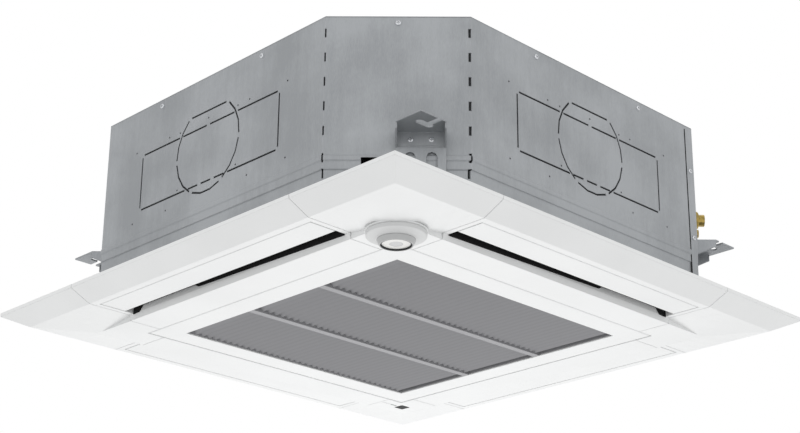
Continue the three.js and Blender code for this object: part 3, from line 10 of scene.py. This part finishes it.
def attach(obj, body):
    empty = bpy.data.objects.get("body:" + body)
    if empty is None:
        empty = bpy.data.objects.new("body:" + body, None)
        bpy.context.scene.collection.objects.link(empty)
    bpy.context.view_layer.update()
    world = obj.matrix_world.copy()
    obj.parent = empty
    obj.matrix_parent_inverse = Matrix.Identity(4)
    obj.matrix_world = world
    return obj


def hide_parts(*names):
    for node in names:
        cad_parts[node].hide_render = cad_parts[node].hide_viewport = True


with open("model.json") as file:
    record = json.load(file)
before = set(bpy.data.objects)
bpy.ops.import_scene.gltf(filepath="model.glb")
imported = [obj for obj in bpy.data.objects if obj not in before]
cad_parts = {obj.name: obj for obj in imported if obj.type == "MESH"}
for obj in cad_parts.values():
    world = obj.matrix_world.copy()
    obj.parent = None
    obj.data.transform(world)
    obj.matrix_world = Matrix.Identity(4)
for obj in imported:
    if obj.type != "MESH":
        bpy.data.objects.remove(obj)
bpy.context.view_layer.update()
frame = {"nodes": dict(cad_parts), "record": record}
nodes = frame["nodes"]
print("frame loaded:", len(nodes), "nodes")

mm = 0.001
scene = bpy.context.scene
scene.view_settings.view_transform = "Standard"


def colour(hexText):  # sRGB hex to opaque linear
    raw = np.array([int(hexText[i:i + 2], 16) for i in (1, 3, 5)]) / 255
    linear = np.where(raw <= 0.04045, raw / 12.92, ((raw + 0.055) / 1.055) ** 2.4)
    return (*linear.tolist(), 1.0)


# camera at the photograph's angle: below the near corner, tilted up at the panel
# metres and radians; the focal length and the shift are in pixels of the picture
cameraSet = {"distance": 2.6343, "height": -0.8894, "yaw": 0.0119, "tilt": 0.3565, "roll": 0.0091,
             "focalPixels": 1654.9, "shiftPixels": 48.0, "imageWidth": 800, "sensorWidth": 36,
             "clip": (0.05, 60)}


def makeCamera(s):
    data = bpy.data.cameras.new("photoCamera")
    camera = bpy.data.objects.new("photoCamera", data)
    scene.collection.objects.link(camera)
    # right of and towards a viewer who stands on the near corner's diagonal
    aside, nearer = Vector((1, 1, 0)) / math.sqrt(2), Vector((1, -1, 0)) / math.sqrt(2)
    above = Vector((0, 0, 1))
    place = (aside * math.sin(s["yaw"]) + nearer * math.cos(s["yaw"])) * s["distance"]
    level = -place.normalized()
    right = aside * math.cos(s["yaw"]) - nearer * math.sin(s["yaw"])
    look = level * math.cos(s["tilt"]) + above * math.sin(s["tilt"])
    up = above * math.cos(s["tilt"]) - level * math.sin(s["tilt"])
    rightRolled = right * math.cos(s["roll"]) + up * math.sin(s["roll"])
    upRolled = up * math.cos(s["roll"]) - right * math.sin(s["roll"])
    turn = Matrix((rightRolled, upRolled, -look)).transposed().to_4x4()
    camera.matrix_world = Matrix.Translation((place.x, place.y, s["height"])) @ turn
    data.sensor_width = s["sensorWidth"]
    data.lens = s["sensorWidth"] * s["focalPixels"] / s["imageWidth"]
    data.shift_y = s["shiftPixels"] / s["imageWidth"]
    data.clip_start, data.clip_end = s["clip"]
    scene.camera = camera


makeCamera(cameraSet)

# node helpers for all materials and the world


def add(tree, kind, settings=(), links=()):
    # settings: attribute or input name to value; links: input name to an output socket
    node = tree.nodes.new(kind)
    for name, value in dict(settings).items():
        if isinstance(name, str) and hasattr(node, name) and name not in node.inputs:
            setattr(node, name, value)
        else:
            node.inputs[name].default_value = value
    for name, socket in dict(links).items():
        tree.links.new(socket, node.inputs[name])
    return node


def newMaterial(name, fixed):
    material = bpy.data.materials.new(name)
    material.use_nodes = True
    tree = material.node_tree
    shader = next(n for n in tree.nodes if n.type == "BSDF_PRINCIPLED")
    for key, value in fixed.items():
        shader.inputs[key].default_value = value
    place = add(tree, "ShaderNodeTexCoord").outputs["Object"]
    return material, tree, shader, place


def noise(tree, place, size, detail, roughness=0.5):
    settings = {"Scale": 1 / size, "Detail": detail, "Roughness": roughness}
    return add(tree, "ShaderNodeTexNoise", settings, {"Vector": place}).outputs["Fac"]


def calculate(tree, operation, *terms):
    # one Math node; a term is a number or an output socket
    numbers = {i: term for i, term in enumerate(terms) if isinstance(term, (int, float))}
    sockets = {i: term for i, term in enumerate(terms) if i not in numbers}
    return add(tree, "ShaderNodeMath", {"operation": operation, **numbers}, sockets).outputs["Value"]


def mapped(tree, value, start, end, low=0.0, high=1.0):
    settings = {"From Min": start, "From Max": end, "To Min": low, "To Max": high}
    return add(tree, "ShaderNodeMapRange", settings, {"Value": value}).outputs["Result"]


def tint(tree, shader, value, stops):
    # base colour from a value, by stops of (value, sRGB hex)
    node = add(tree, "ShaderNodeValToRGB", links={"Fac": value})
    elements = node.color_ramp.elements
    for element, (position, hexText) in zip(elements, (stops[0], stops[-1])):
        element.position, element.color = position, colour(hexText)
    for position, hexText in stops[1:-1]:
        elements.new(position).color = colour(hexText)
    tree.links.new(node.outputs["Color"], shader.inputs["Base Color"])


def sheen(tree, shader, value, low, high, start=0.3, end=0.7):
    # roughness from low to high while the value goes from start to end
    tree.links.new(mapped(tree, value, start, end, low, high), shader.inputs["Roughness"])


def relief(tree, shader, height, strength, depth, edge=0.0):
    # bump from a height; an edge radius also makes sharp edges catch the light as if rounded
    bump = add(tree, "ShaderNodeBump", {"Strength": strength, "Distance": depth}, {"Height": height})
    normal = bump.outputs["Normal"]
    if edge:
        normal = add(tree, "ShaderNodeBevel", {"Radius": edge}, {"Normal": normal}).outputs["Normal"]
    tree.links.new(normal, shader.inputs["Normal"])


# satin ABS, injection moulded: a fine spark-eroded grain breaks up the highlight, the white is even
mouldSet = {"grain": 0.9 * mm, "cloud": 140 * mm, "bump": 0.05, "depth": 0.05 * mm,
            "soft": 0.3, "full": 0.62, "smoother": 0.04, "rougher": 0.06,
            "fixed": {"IOR": 1.53, "Specular IOR Level": 0.4}}


def mouldedSurface(name, s, rough, edge=0.0):
    material, tree, shader, place = newMaterial(name, s["fixed"])
    grain = noise(tree, place, s["grain"], 2.0, 0.6)
    sheen(tree, shader, grain, rough - s["smoother"], rough + s["rougher"])
    relief(tree, shader, grain, s["bump"], s["depth"], edge)
    return material, tree, shader, place


def mouldedAbs(name, tone, soft, rough=0.42, edge=0.0):
    s = mouldSet
    material, tree, shader, place = mouldedSurface(name, s, rough, edge)
    tint(tree, shader, noise(tree, place, s["cloud"], 3.0), [(s["soft"], soft), (s["full"], tone)])
    return material


# the louvre blades' ABS: a faint darker line along each blade, at the pitch of the blades from front to
# back, is painted shade of the gap between blades
louvreSet = {"pitch": 13.1 * mm, "tip": 4 * mm, "line": 2.6 * mm, "tone": "#a0a0a3", "dark": "#9a9a9d"}


def louvreAbs(name, s, rough=0.5):
    material, tree, shader, place = mouldedSurface(name, mouldSet, rough)
    along = add(tree, "ShaderNodeSeparateXYZ", links={"Vector": place}).outputs["Y"]
    moved = calculate(tree, "SUBTRACT", along, s["tip"])
    wave = calculate(tree, "PINGPONG", moved, s["pitch"] / 2)
    # the dark stop paints the shade in the gap between blades
    tint(tree, shader, mapped(tree, wave, s["line"] / 2, s["line"]), [(0.0, s["dark"]), (1.0, s["tone"])])
    return material


# hot-dip galvanised sheet, skin passed: cloudy zinc, its fine grain drawn out along the rolling
zincSet = {"grainAcross": 0.9 * mm, "grainAlong": 7 * mm, "streakAcross": 9 * mm, "streakAlong": 90 * mm,
           "cloud": 130 * mm, "grainShare": 0.35, "streakShare": 0.2, "rough": 0.5, "vary": 0.05,
           "bump": 0.08, "depth": 0.03 * mm, "fold": 1.6 * mm,
           "stops": [(0.62, "#94979a"), (0.775, "#9ea1a4"), (0.93, "#a8abae")]}


def galvanisedSheet(name, s):
    material, tree, shader, place = newMaterial(name, {"Metallic": 0.5})

    def drawnNoise(across, along, detail):
        scale = (1 / across, 1 / across, 1 / along)
        lines = add(tree, "ShaderNodeMapping", {"Scale": scale}, {"Vector": place})
        return noise(tree, lines.outputs["Vector"], 1.0, detail, 0.6)

    grain = drawnNoise(s["grainAcross"], s["grainAlong"], 2.0)
    streak = drawnNoise(s["streakAcross"], s["streakAlong"], 3.0)
    cloud = noise(tree, place, s["cloud"], 4.0)
    grained = calculate(tree, "MULTIPLY_ADD", grain, s["grainShare"], cloud)
    total = calculate(tree, "MULTIPLY_ADD", streak, s["streakShare"], grained)
    tint(tree, shader, total, s["stops"])
    sheen(tree, shader, cloud, s["rough"] - s["vary"], s["rough"] + s["vary"])
    relief(tree, shader, grain, s["bump"], s["depth"], s["fold"])
    return material


# plain finish with one fine noise in colour, roughness and bump, for rubber, hose, board, enamel,
# copper, brass and zinc plating
grainSet = {"dark": 0.35, "light": 0.65, "bump": 0.2}


def grainedFinish(name, light, dark, grain, fixed, rough, depth=0.05 * mm):
    s = grainSet
    material, tree, shader, place = newMaterial(name, fixed)
    value = noise(tree, place, grain, 3.0)
    tint(tree, shader, value, [(s["dark"], dark), (s["light"], light)])
    sheen(tree, shader, value, *rough)
    relief(tree, shader, value, s["bump"], depth)
    return material


# expanded polystyrene, steam moulded: matt beads pressed flat against each other
foamSet = {"bead": 3.6 * mm, "seam": 0.12, "bump": 0.5, "depth": 0.3 * mm}


def beadFoam(name, light, dark, s):
    material, tree, shader, place = newMaterial(name, {"IOR": 1.4, "Roughness": 0.9})
    cells = add(tree, "ShaderNodeTexVoronoi", {"Scale": 1 / s["bead"], "feature": "DISTANCE_TO_EDGE"},
                {"Vector": place}).outputs["Distance"]
    tint(tree, shader, cells, [(0.0, dark), (s["seam"], light)])
    relief(tree, shader, cells, s["bump"], s["depth"])
    return material


# aluminium fins, pressed and stacked: thin bright edges with painted shade for the dark slots between,
# drawn wider than the real pitch of about 1.4 mm so that they show
finSet = {"pitch": 2.6 * mm, "slot": (0.25, "#4a4d50"), "edge": (0.55, "#c6c9cb"), "slotRough": 0.55,
          "edgeRough": 0.32, "bump": 0.6, "depth": 0.5 * mm}


def finStack(name, s):
    material, tree, shader, place = newMaterial(name, {"Metallic": 0.9})
    parts = add(tree, "ShaderNodeSeparateXYZ", links={"Vector": place})
    total = calculate(tree, "ADD", parts.outputs["X"], parts.outputs["Y"])
    wave = calculate(tree, "PINGPONG", total, s["pitch"] / 2)
    edge = mapped(tree, wave, 0.0, s["pitch"] / 2)
    # the slot stop is painted shade between the fins
    tint(tree, shader, edge, [s["slot"], s["edge"]])
    sheen(tree, shader, edge, s["slotRough"], s["edgeRough"], 0.0, 1.0)
    relief(tree, shader, edge, s["bump"], s["depth"])
    return material


# cast acrylic, polished: a faint waviness in its sheen
acrylicSet = {"wave": 6 * mm, "rougher": 0.06, "fixed": {"IOR": 1.49, "Specular IOR Level": 0.05}}


def polishedAcrylic(name, light, dark, rough, s):
    material, tree, shader, place = newMaterial(name, s["fixed"])
    value = noise(tree, place, s["wave"], 1.0)
    tint(tree, shader, value, [(0.3, dark), (0.7, light)])
    sheen(tree, shader, value, rough, rough + s["rougher"], 0.0, 1.0)
    return material


panelAbs = mouldedAbs("satinAbsMoulded", "#f3f4f4", "#eff0f0", edge=1.2 * mm)
greyAbs = mouldedAbs("greyAbsMoulded", "#9a9a9d", "#949497", rough=0.5)
bladeAbs = louvreAbs("greyAbsLouvre", louvreSet)
strapAbs = mouldedAbs("lightGreyAbsMoulded", "#9c9c9f", "#969699", rough=0.5)
darkAbs = mouldedAbs("darkAbsMoulded", "#303134", "#28292b", rough=0.5)
# the bowl and the turret are the panel's white ABS greyed: painted shade on their sides, the turret darker
bowlAbsPaintedShade = mouldedAbs("satinAbsMouldedBowlShade", "#dadbdb", "#d6d7d7", edge=0.8 * mm)
turretAbsPaintedShade = mouldedAbs("satinAbsMouldedTurretShade", "#c2c3c3", "#bdbebe", rough=0.5, edge=0.6 * mm)
lensPe = mouldedAbs("milkyPolyethyleneMoulded", "#e4e4e1", "#dededb", rough=0.3)
eyePe = mouldedAbs("greyPolyethyleneMoulded", "#c2c3c4", "#bbbcbd", rough=0.3)
wallZinc = galvanisedSheet("galvanisedSheetRolled", zincSet)
irAcrylic = polishedAcrylic("smokedAcrylicPolished", "#0d0d0f", "#060607", 0.3, acrylicSet)
lampAcrylic = polishedAcrylic("greyAcrylicFrosted", "#a9b0ad", "#949b98", 0.35, acrylicSet)
laminate = grainedFinish("glassLaminateEtched", "#3a7a52", "#2f6847", 3 * mm, {"IOR": 1.5}, (0.35, 0.5))
whiteFoam = beadFoam("polystyreneSteamMoulded", "#eceeed", "#cfd2d1", foamSet)
# dark foam: painted shade, so that the foam seen through the slots and the outlet gaps looks dark
foamPaintedShade = beadFoam("polystyreneSteamMouldedPaintedShade", "#2a2b2d", "#1d1e20", foamSet)
plugRubber = grainedFinish("rubberMoulded", "#3a3c3e", "#2a2c2e", 1.5 * mm, {"IOR": 1.5}, (0.7, 0.9))
# black for the strips of painted shade in the joints and in the outlets
shadeBlack = grainedFinish("blackPaintedShade", "#151516", "#0e0e0f", 1.2 * mm, {"IOR": 1.4}, (0.85, 0.95))
fins = finStack("aluminiumFinsPressed", finSet)
copper = grainedFinish("copperTubeDrawn", "#c07a52", "#9a5d3f", 9 * mm, {"Metallic": 1.0},
                       (0.28, 0.42), 0.02 * mm)
brass = grainedFinish("brassTurned", "#b39a58", "#8b7a45", 5 * mm, {"Metallic": 1.0},
                      (0.3, 0.45), 0.02 * mm)
motorEnamel = grainedFinish("blackEnamelSprayed", "#2b2c2e", "#202122", 2 * mm, {"IOR": 1.5}, (0.35, 0.5))
pvcHose = grainedFinish("pvcHoseExtruded", "#a7b5ae", "#93a29b", 4 * mm,
                        {"IOR": 1.52, "Transmission Weight": 0.25}, (0.3, 0.45))
screwZinc = grainedFinish("zincPlatedTurned", "#d4d6d9", "#c2c4c7", 3 * mm, {"Metallic": 0.9},
                          (0.22, 0.32), 0.02 * mm)
print("materials made")

finishOf = {"white_moulding": panelAbs, "grey_moulding": greyAbs, "dark_moulding": darkAbs,
            "infrared_window": irAcrylic, "lamp_strip": lampAcrylic, "circuit_laminate": laminate,
            "galvanised_steel": wallZinc, "foam": whiteFoam, "dark_foam": foamPaintedShade,
            "plug_rubber": plugRubber, "coil_fins": fins, "copper_pipe": copper, "nut_brass": brass,
            "motor_case": motorEnamel, "hose": pvcHose}
for row in frame["record"]["subparts"]:
    mesh = nodes[row["node"]].data
    mesh.materials.clear()
    mesh.materials.append(bladeAbs if row["node"] == "grille_louvres" else finishOf[row["material_slot"]])
print("finishes on the nodes")

# mesh helpers for the new pieces: a part is (points in metres, faces)
pieceSet = {"merge": 1e-7, "sharp": math.radians(38)}


def newPiece(name, part, material, body):
    vertices, faces = part
    mesh = bpy.data.meshes.new(name)
    mesh.from_pydata(vertices.tolist(), [], faces)
    work = bmesh.new()
    work.from_mesh(mesh)
    bmesh.ops.remove_doubles(work, verts=work.verts, dist=pieceSet["merge"])
    bmesh.ops.recalc_face_normals(work, faces=work.faces)
    work.to_mesh(mesh)
    work.free()
    mesh.materials.append(material)
    mesh.shade_smooth()
    mesh.set_sharp_from_angle(angle=pieceSet["sharp"])
    piece = bpy.data.objects.new(name, mesh)
    scene.collection.objects.link(piece)
    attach(piece, body)
    return piece


def gridFaces(rows, columns):
    # quads of a grid of rows x columns points whose columns run round
    i, j = np.meshgrid(np.arange(rows - 1), np.arange(columns), indexing="ij")
    k = (j + 1) % columns
    corners = [i * columns + j, i * columns + k, (i + 1) * columns + k, (i + 1) * columns + j]
    return np.stack(corners, -1).reshape(-1, 4).tolist()


def bar(rings):
    # bar through rings of points in mm, given as (rings, points round, 3), with both ends capped
    count, around = rings.shape[:2]
    caps = [list(range(around)), list(range((count - 1) * around, count * around))]
    return rings.reshape(-1, 3) * mm, gridFaces(count, around) + caps


def joined(parts):
    # one part from several
    faces, start = [], 0
    for vertices, own in parts:
        faces += [[start + k for k in face] for face in own]
        start += len(vertices)
    return np.vstack([vertices for vertices, _ in parts]), faces


def turned(profile, centre, sides, ring=False):
    # surface of revolution: (r cos a, r sin a, z) for each profile point (r, z) and angle a
    # the profile starts and ends on the axis, or is a closed loop off it when ring is set
    profile = np.vstack([profile, profile[:1]]) if ring else np.asarray(profile)
    angle = np.linspace(0, 2 * np.pi, sides, endpoint=False)
    radius, height = profile[:, :1] * mm, profile[:, 1:] * mm
    points = np.stack([radius * np.cos(angle), radius * np.sin(angle), height + 0 * angle], -1)
    return points.reshape(-1, 3) + np.array([*centre, 0.0]), gridFaces(len(profile), sides)


def smoothLine(points, count):
    # Catmull-Rom line through the points, count samples to each span
    p = np.asarray(points, float)
    p = np.vstack([2 * p[0] - p[1], p, 2 * p[-1] - p[-2]])
    t = np.linspace(0, 1, count, endpoint=False)[None, :, None]
    a, b, c, d = (p[i:len(p) - 3 + i][:, None, :] for i in range(4))
    square, cube = 2 * a - 5 * b + 4 * c - d, 3 * b - a - 3 * c + d
    line = 0.5 * (2 * b + (c - a) * t + square * t ** 2 + cube * t ** 3)
    return np.vstack([line.reshape(-1, p.shape[1]), p[-2]])


# turning sensor: bowl on the corner cover, conical turret, dark ring of painted shade in the lens recess,
# domed lens with an eye
# swell is the bowl's outside, as (radius, drop below its top); the two edges are the turret's lower
# edge, as (beyond the lens or the cone, above the bottom); all in mm
sensorSet = {"place": 328, "face": -33.5, "sides": 96, "gap": 0.3, "drop": 11.2,
             "swell": [(44, 0.2), (43.6, 4.9), (43, 5.7), (41.8, 6.2), (36.5, 7.8)],
             "rimRadius": 29.8, "lip": (31.0, 1.0), "bore": 24.7, "boreEdge": 0.6, "collar": 33.0,
             "bowlTop": -13.0, "samples": 4, "headRadius": 28, "headDrop": 7.5, "headTop": -14.0,
             "neck": 24.3, "cone": 24.6, "recess": 3.4, "lensEdge": [(0.3, 0.3), (0.6, 0.0)],
             "coneEdge": [(-0.8, 0.0), (-0.2, 0.25), (0.2, 0.9)], "lens": 22.5, "lensGap": 2.0,
             "flange": 0.5, "crown": 0.8, "domeSteps": 9, "eye": 9.5, "eyeProud": 0.1, "eyeSteps": 7,
             "shadeRingOut": 0.2, "shadeRingWidth": 1.0, "shadeRingTop": 0.1, "shadeRingFoot": 0.35}


def makeSensor(s):
    centre, sides, gap = (s["place"] * mm, -s["place"] * mm), s["sides"], s["gap"]
    base, rim = s["face"] - gap, s["face"] - s["drop"]
    swell = [(radius, base - drop) for radius, drop in s["swell"]]
    lip = (s["lip"][0], rim + s["lip"][1])
    outside = smoothLine(swell + [lip, (s["rimRadius"], rim)], s["samples"])
    bore, chamfer = s["bore"], s["boreEdge"]
    bowl = np.vstack([[[bore, s["bowlTop"]], [bore, rim + chamfer], [bore + chamfer, rim]], outside[::-1],
                      [[s["swell"][0][0], base], [s["collar"], base], [s["collar"], s["bowlTop"]]]])
    bowlPiece = newPiece("sensorBowl", turned(bowl, centre, sides, ring=True), bowlAbsPaintedShade, "cassette")
    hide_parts("sensor_housing")

    top = rim - gap
    bottom = top - s["headDrop"]
    recess = bottom + s["recess"]
    lens, cone = s["lens"], s["cone"]
    edge = [(lens + beyond, bottom + rise) for beyond, rise in s["lensEdge"]]
    edge += [(cone + beyond, bottom + rise) for beyond, rise in s["coneEdge"]]
    head = [(0, recess), (lens + gap, recess), *edge, (s["headRadius"], top), (s["neck"], top),
            (s["neck"], s["headTop"]), (0, s["headTop"])]
    headPiece = newPiece("sensorTurret", turned(head, centre, sides), turretAbsPaintedShade, "sensor_turret")
    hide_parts("sensor_head")

    lensTop = recess - gap

    def crownAt(radius):
        return lensTop - s["flange"] - s["crown"] * (1 - (radius / lens) ** 2)

    rimOfLens, hole = lens - s["lensGap"], s["eye"] + gap
    radius = np.linspace(rimOfLens, hole, s["domeSteps"])
    dome = np.vstack([[[0, lensTop], [rimOfLens, lensTop]], np.stack([radius, crownAt(radius)], -1),
                      [[hole, lensTop - gap], [0, lensTop - gap]]])
    lensPiece = newPiece("sensorLensDome", turned(dome, centre, sides), lensPe, "sensor_turret")
    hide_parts("sensor_lens")

    # a dark ring lining the recess wall paints the shade inside the recess
    outer, high, low = lens + s["shadeRingOut"], recess - s["shadeRingTop"], bottom + s["shadeRingFoot"]
    inner = outer - s["shadeRingWidth"]
    shadeRing = [(outer, high), (inner, high), (inner, low), (outer, low)]
    shadeRingPiece = newPiece("sensorRecessShade", turned(shadeRing, centre, sides, ring=True), plugRubber,
                           "sensor_turret")

    radius = np.linspace(s["eye"], 0, s["eyeSteps"])
    eye = np.vstack([[[0, lensTop - s["flange"]], [s["eye"], lensTop - s["flange"]]],
                     np.stack([radius, crownAt(radius) + s["eyeProud"]], -1)])
    eyePiece = newPiece("sensorEye", turned(eye, centre, sides), eyePe, "sensor_turret")


makeSensor(sensorSet)
print("sensor made")

# pan-head screws with a cross recess, in mm: along the top edge, on the chamfers, on the brackets
# and on the corner plate at the pipe side; dome is (share of the radius, share of the height)
screwSet = {"radius": 4.2, "height": 1.9, "sunk": 0.4, "dome": [(1, 0.35), (0.9, 0.8), (0.72, 1)],
            "recess": 2.6, "recessDepth": 1.3, "recessTaper": 0.8, "waist": 0.3, "sides": 32,
            "wall": 420.0, "chamferWall": 487.9, "topHeight": 286.0, "chamferRise": 1.0, "topAside": 125.0,
            "bracketAside": 34.0, "bracketSpread": 15.0, "bracketHeight": 98.0, "bracketFace": 2.8,
            "plateAlong": 260.0, "plateHeights": (98.0, 217.0)}


def makeScrews(s):
    angle = np.linspace(0, 2 * np.pi, s["sides"], endpoint=False)
    full = np.ones_like(angle)
    # outline of the recess: recess * (waist + (1 - waist) |cos 2a|^3)
    cross = s["recess"] * (s["waist"] + (1 - s["waist"]) * np.abs(np.cos(2 * angle)) ** 3)
    floor = s["height"] - s["recessDepth"]
    rings = [(0 * full, -s["sunk"]), (s["radius"] * full, -s["sunk"])]
    rings += [(across * s["radius"] * full, tall * s["height"]) for across, tall in s["dome"]]
    rings += [(cross, s["height"]), (s["recessTaper"] * cross, floor), (0 * full, floor)]
    head = np.stack([np.stack([r * np.cos(angle), r * np.sin(angle), z * full], -1) for r, z in rings])
    head, quads = head.reshape(-1, 3), gridFaces(len(rings), s["sides"])
    up = np.array([0.0, 0, 1])
    seats = []  # (place on the wall, direction that the head faces)
    for turn in range(4):
        out = np.array([math.cos(turn * math.pi / 2), math.sin(turn * math.pi / 2), 0])
        side = np.cross(up, out)
        seats += [(out * s["wall"] + side * aside + up * s["topHeight"], out)
                  for aside in (-s["topAside"], s["topAside"])]
        corner = (out - side) / math.sqrt(2)
        across = np.cross(up, corner)
        seats.append((corner * s["chamferWall"] + up * (s["topHeight"] + s["chamferRise"]), corner))
        bracket = s["bracketAside"] if turn % 2 == 0 else -s["bracketAside"]
        face = corner * (s["chamferWall"] + s["bracketFace"]) + up * s["bracketHeight"]
        seats += [(face + across * (bracket + spread), corner)
                  for spread in (-s["bracketSpread"], s["bracketSpread"])]
    # the edges of the plate on the pipe side lie on the right and the rear wall
    right, rear = np.array([1.0, 0, 0]), np.array([0, 1.0, 0])
    for out, side in ((right, rear), (rear, right)):
        seats += [(out * s["wall"] + side * s["plateAlong"] + up * z, out) for z in s["plateHeights"]]
    parts = [((seat + head @ np.array([np.cross(up, out), up, out])) * mm, quads) for seat, out in seats]
    piece = newPiece("wallScrews", joined(parts), screwZinc, "cassette")


makeScrews(screwSet)
print("screws made")

# black strips in the two joints of the corner plate on the pipe side, painted shade of the joints, in mm
jointShadeSet = {"wall": 420.0, "proud": 0.35, "sunk": 0.5, "shoulder": 0.15, "along": 250.0, "half": 1.3,
              "uneven": 0.12, "wave": 0.21, "low": 5.0, "high": 291.0, "steps": 24}


def makeJointShade(s):
    z = np.linspace(s["low"], s["high"], s["steps"])
    half = s["half"] + s["uneven"] * np.sin(z * s["wave"])  # half the bead's width
    near, far = s["wall"] - s["sunk"], s["wall"] + s["proud"]
    shoulder = far - s["shoulder"]
    section = [(near, -half), (shoulder, -half), (far, -half / 2), (far, half / 2), (shoulder, half),
               (near, half)]
    right = np.stack([np.stack([x + 0 * z, s["along"] + y, z], -1) for x, y in section], 1)
    rear = right[..., [1, 0, 2]]
    piece = newPiece("jointShadeStrips", joined([bar(right), bar(rear)]), shadeBlack, "cassette")


makeJointShade(jointShadeSet)
print("joint shade made")

# straps over the louvre blades, a lighter grey, running from front to back, in mm
strapSet = {"aside": 84.13, "half": 6.4, "reach": 252.0, "low": -33.35, "high": -27.5, "round": 0.5}


def makeStraps(s):
    half, low, high, r = s["half"], s["low"], s["high"], s["round"]
    section = [(-half, high), (-half, low + r), (-half + r, low), (half - r, low), (half, low + r),
               (half, high)]
    straps = [np.array([[(middle + x, y, z) for x, z in section] for y in (-s["reach"], s["reach"])])
              for middle in (-s["aside"], s["aside"])]
    piece = newPiece("louvreStraps", joined([bar(strap) for strap in straps]), strapAbs, "grille")


makeStraps(strapSet)
print("straps made")

# dark strips up the inner wall of each outlet, painted shade of the deep duct beside the vane, in mm; edge
# is (place along, height) of the lower edge: it hangs in sight towards the near or far corner, lifts out of
# sight beyond the middle, and drops again at the other end
outletShadeSet = {"wall": 359.55, "thick": 0.7, "reach": 254.5, "high": 1.5, "steps": 120,
           "edge": [(-254.5, -25.5), (-237.0, -25.0), (-228.0, -15.0), (-92.0, -15.0), (-82.0, -20.0),
                    (254.5, -26.0)],
           # directions (out, along) of the front, right, rear and left outlets
           "outlets": [((0, -1), (1, 0)), ((1, 0), (0, -1)), ((0, 1), (1, 0)), ((-1, 0), (0, -1))]}


def makeOutletShade(s):
    place = np.linspace(-s["reach"], s["reach"], s["steps"])
    low = np.interp(place, *np.array(s["edge"]).T)
    high, near = s["high"] + 0 * place, s["wall"]
    section = [(near, high), (near + s["thick"], high), (near + s["thick"], low), (near, low)]
    strips = []
    for out, along in s["outlets"]:
        points = [np.stack([place * along[0] + far * out[0], place * along[1] + far * out[1], z], -1)
                  for far, z in section]
        strips.append(bar(np.stack(points, 1)))
    piece = newPiece("outletShadeStrips", joined(strips), shadeBlack, "cassette")


makeOutletShade(outletShadeSet)
print("outlet shade made")

# light and background, in metres and watts: no floor, since the unit hangs from a ceiling and is
# seen from below, where a floor would hide it
studioSet = {"world": 0.72, "aim": (0, 0, 0.1),
             "key": {"place": (-1.6, 1.6, -2.25), "size": 2.6, "power": 30},
             "left": {"place": (0.3, -2.9, 0.9), "size": 1.6, "power": 8},
             "right": {"place": (2.9, -0.3, 0.9), "size": 1.6, "power": 8},
             "top": {"place": (-1.2, 1.0, 3.4), "size": 2.5, "power": 26}}


def makeStudio(s):
    world = bpy.data.worlds.new("studio")
    scene.world = world
    world.use_nodes = True
    tree = world.node_tree
    tree.nodes.clear()
    path = add(tree, "ShaderNodeLightPath").outputs
    direct = calculate(tree, "MAXIMUM", path["Is Camera Ray"], path["Is Glossy Ray"])
    seen = calculate(tree, "MAXIMUM", direct, path["Is Transmission Ray"])
    soft = add(tree, "ShaderNodeBackground", {"Color": (1, 1, 1, 1), "Strength": s["world"]})
    white = add(tree, "ShaderNodeBackground", {"Color": (1, 1, 1, 1), "Strength": 1.0})
    mix = add(tree, "ShaderNodeMixShader",
              links={"Fac": seen, 1: soft.outputs["Background"], 2: white.outputs["Background"]})
    add(tree, "ShaderNodeOutputWorld", links={"Surface": mix.outputs["Shader"]})

    for name in ("key", "left", "right", "top"):
        lamp = bpy.data.lights.new(name + "Softbox", "AREA")
        lamp.shape, lamp.size, lamp.energy = "DISK", s[name]["size"], s[name]["power"]
        holder = bpy.data.objects.new(name + "Softbox", lamp)
        scene.collection.objects.link(holder)
        place = Vector(s[name]["place"])
        holder.location = place
        holder.rotation_euler = (Vector(s["aim"]) - place).to_track_quat("-Z", "Y").to_euler()


makeStudio(studioSet)
print("studio lit")
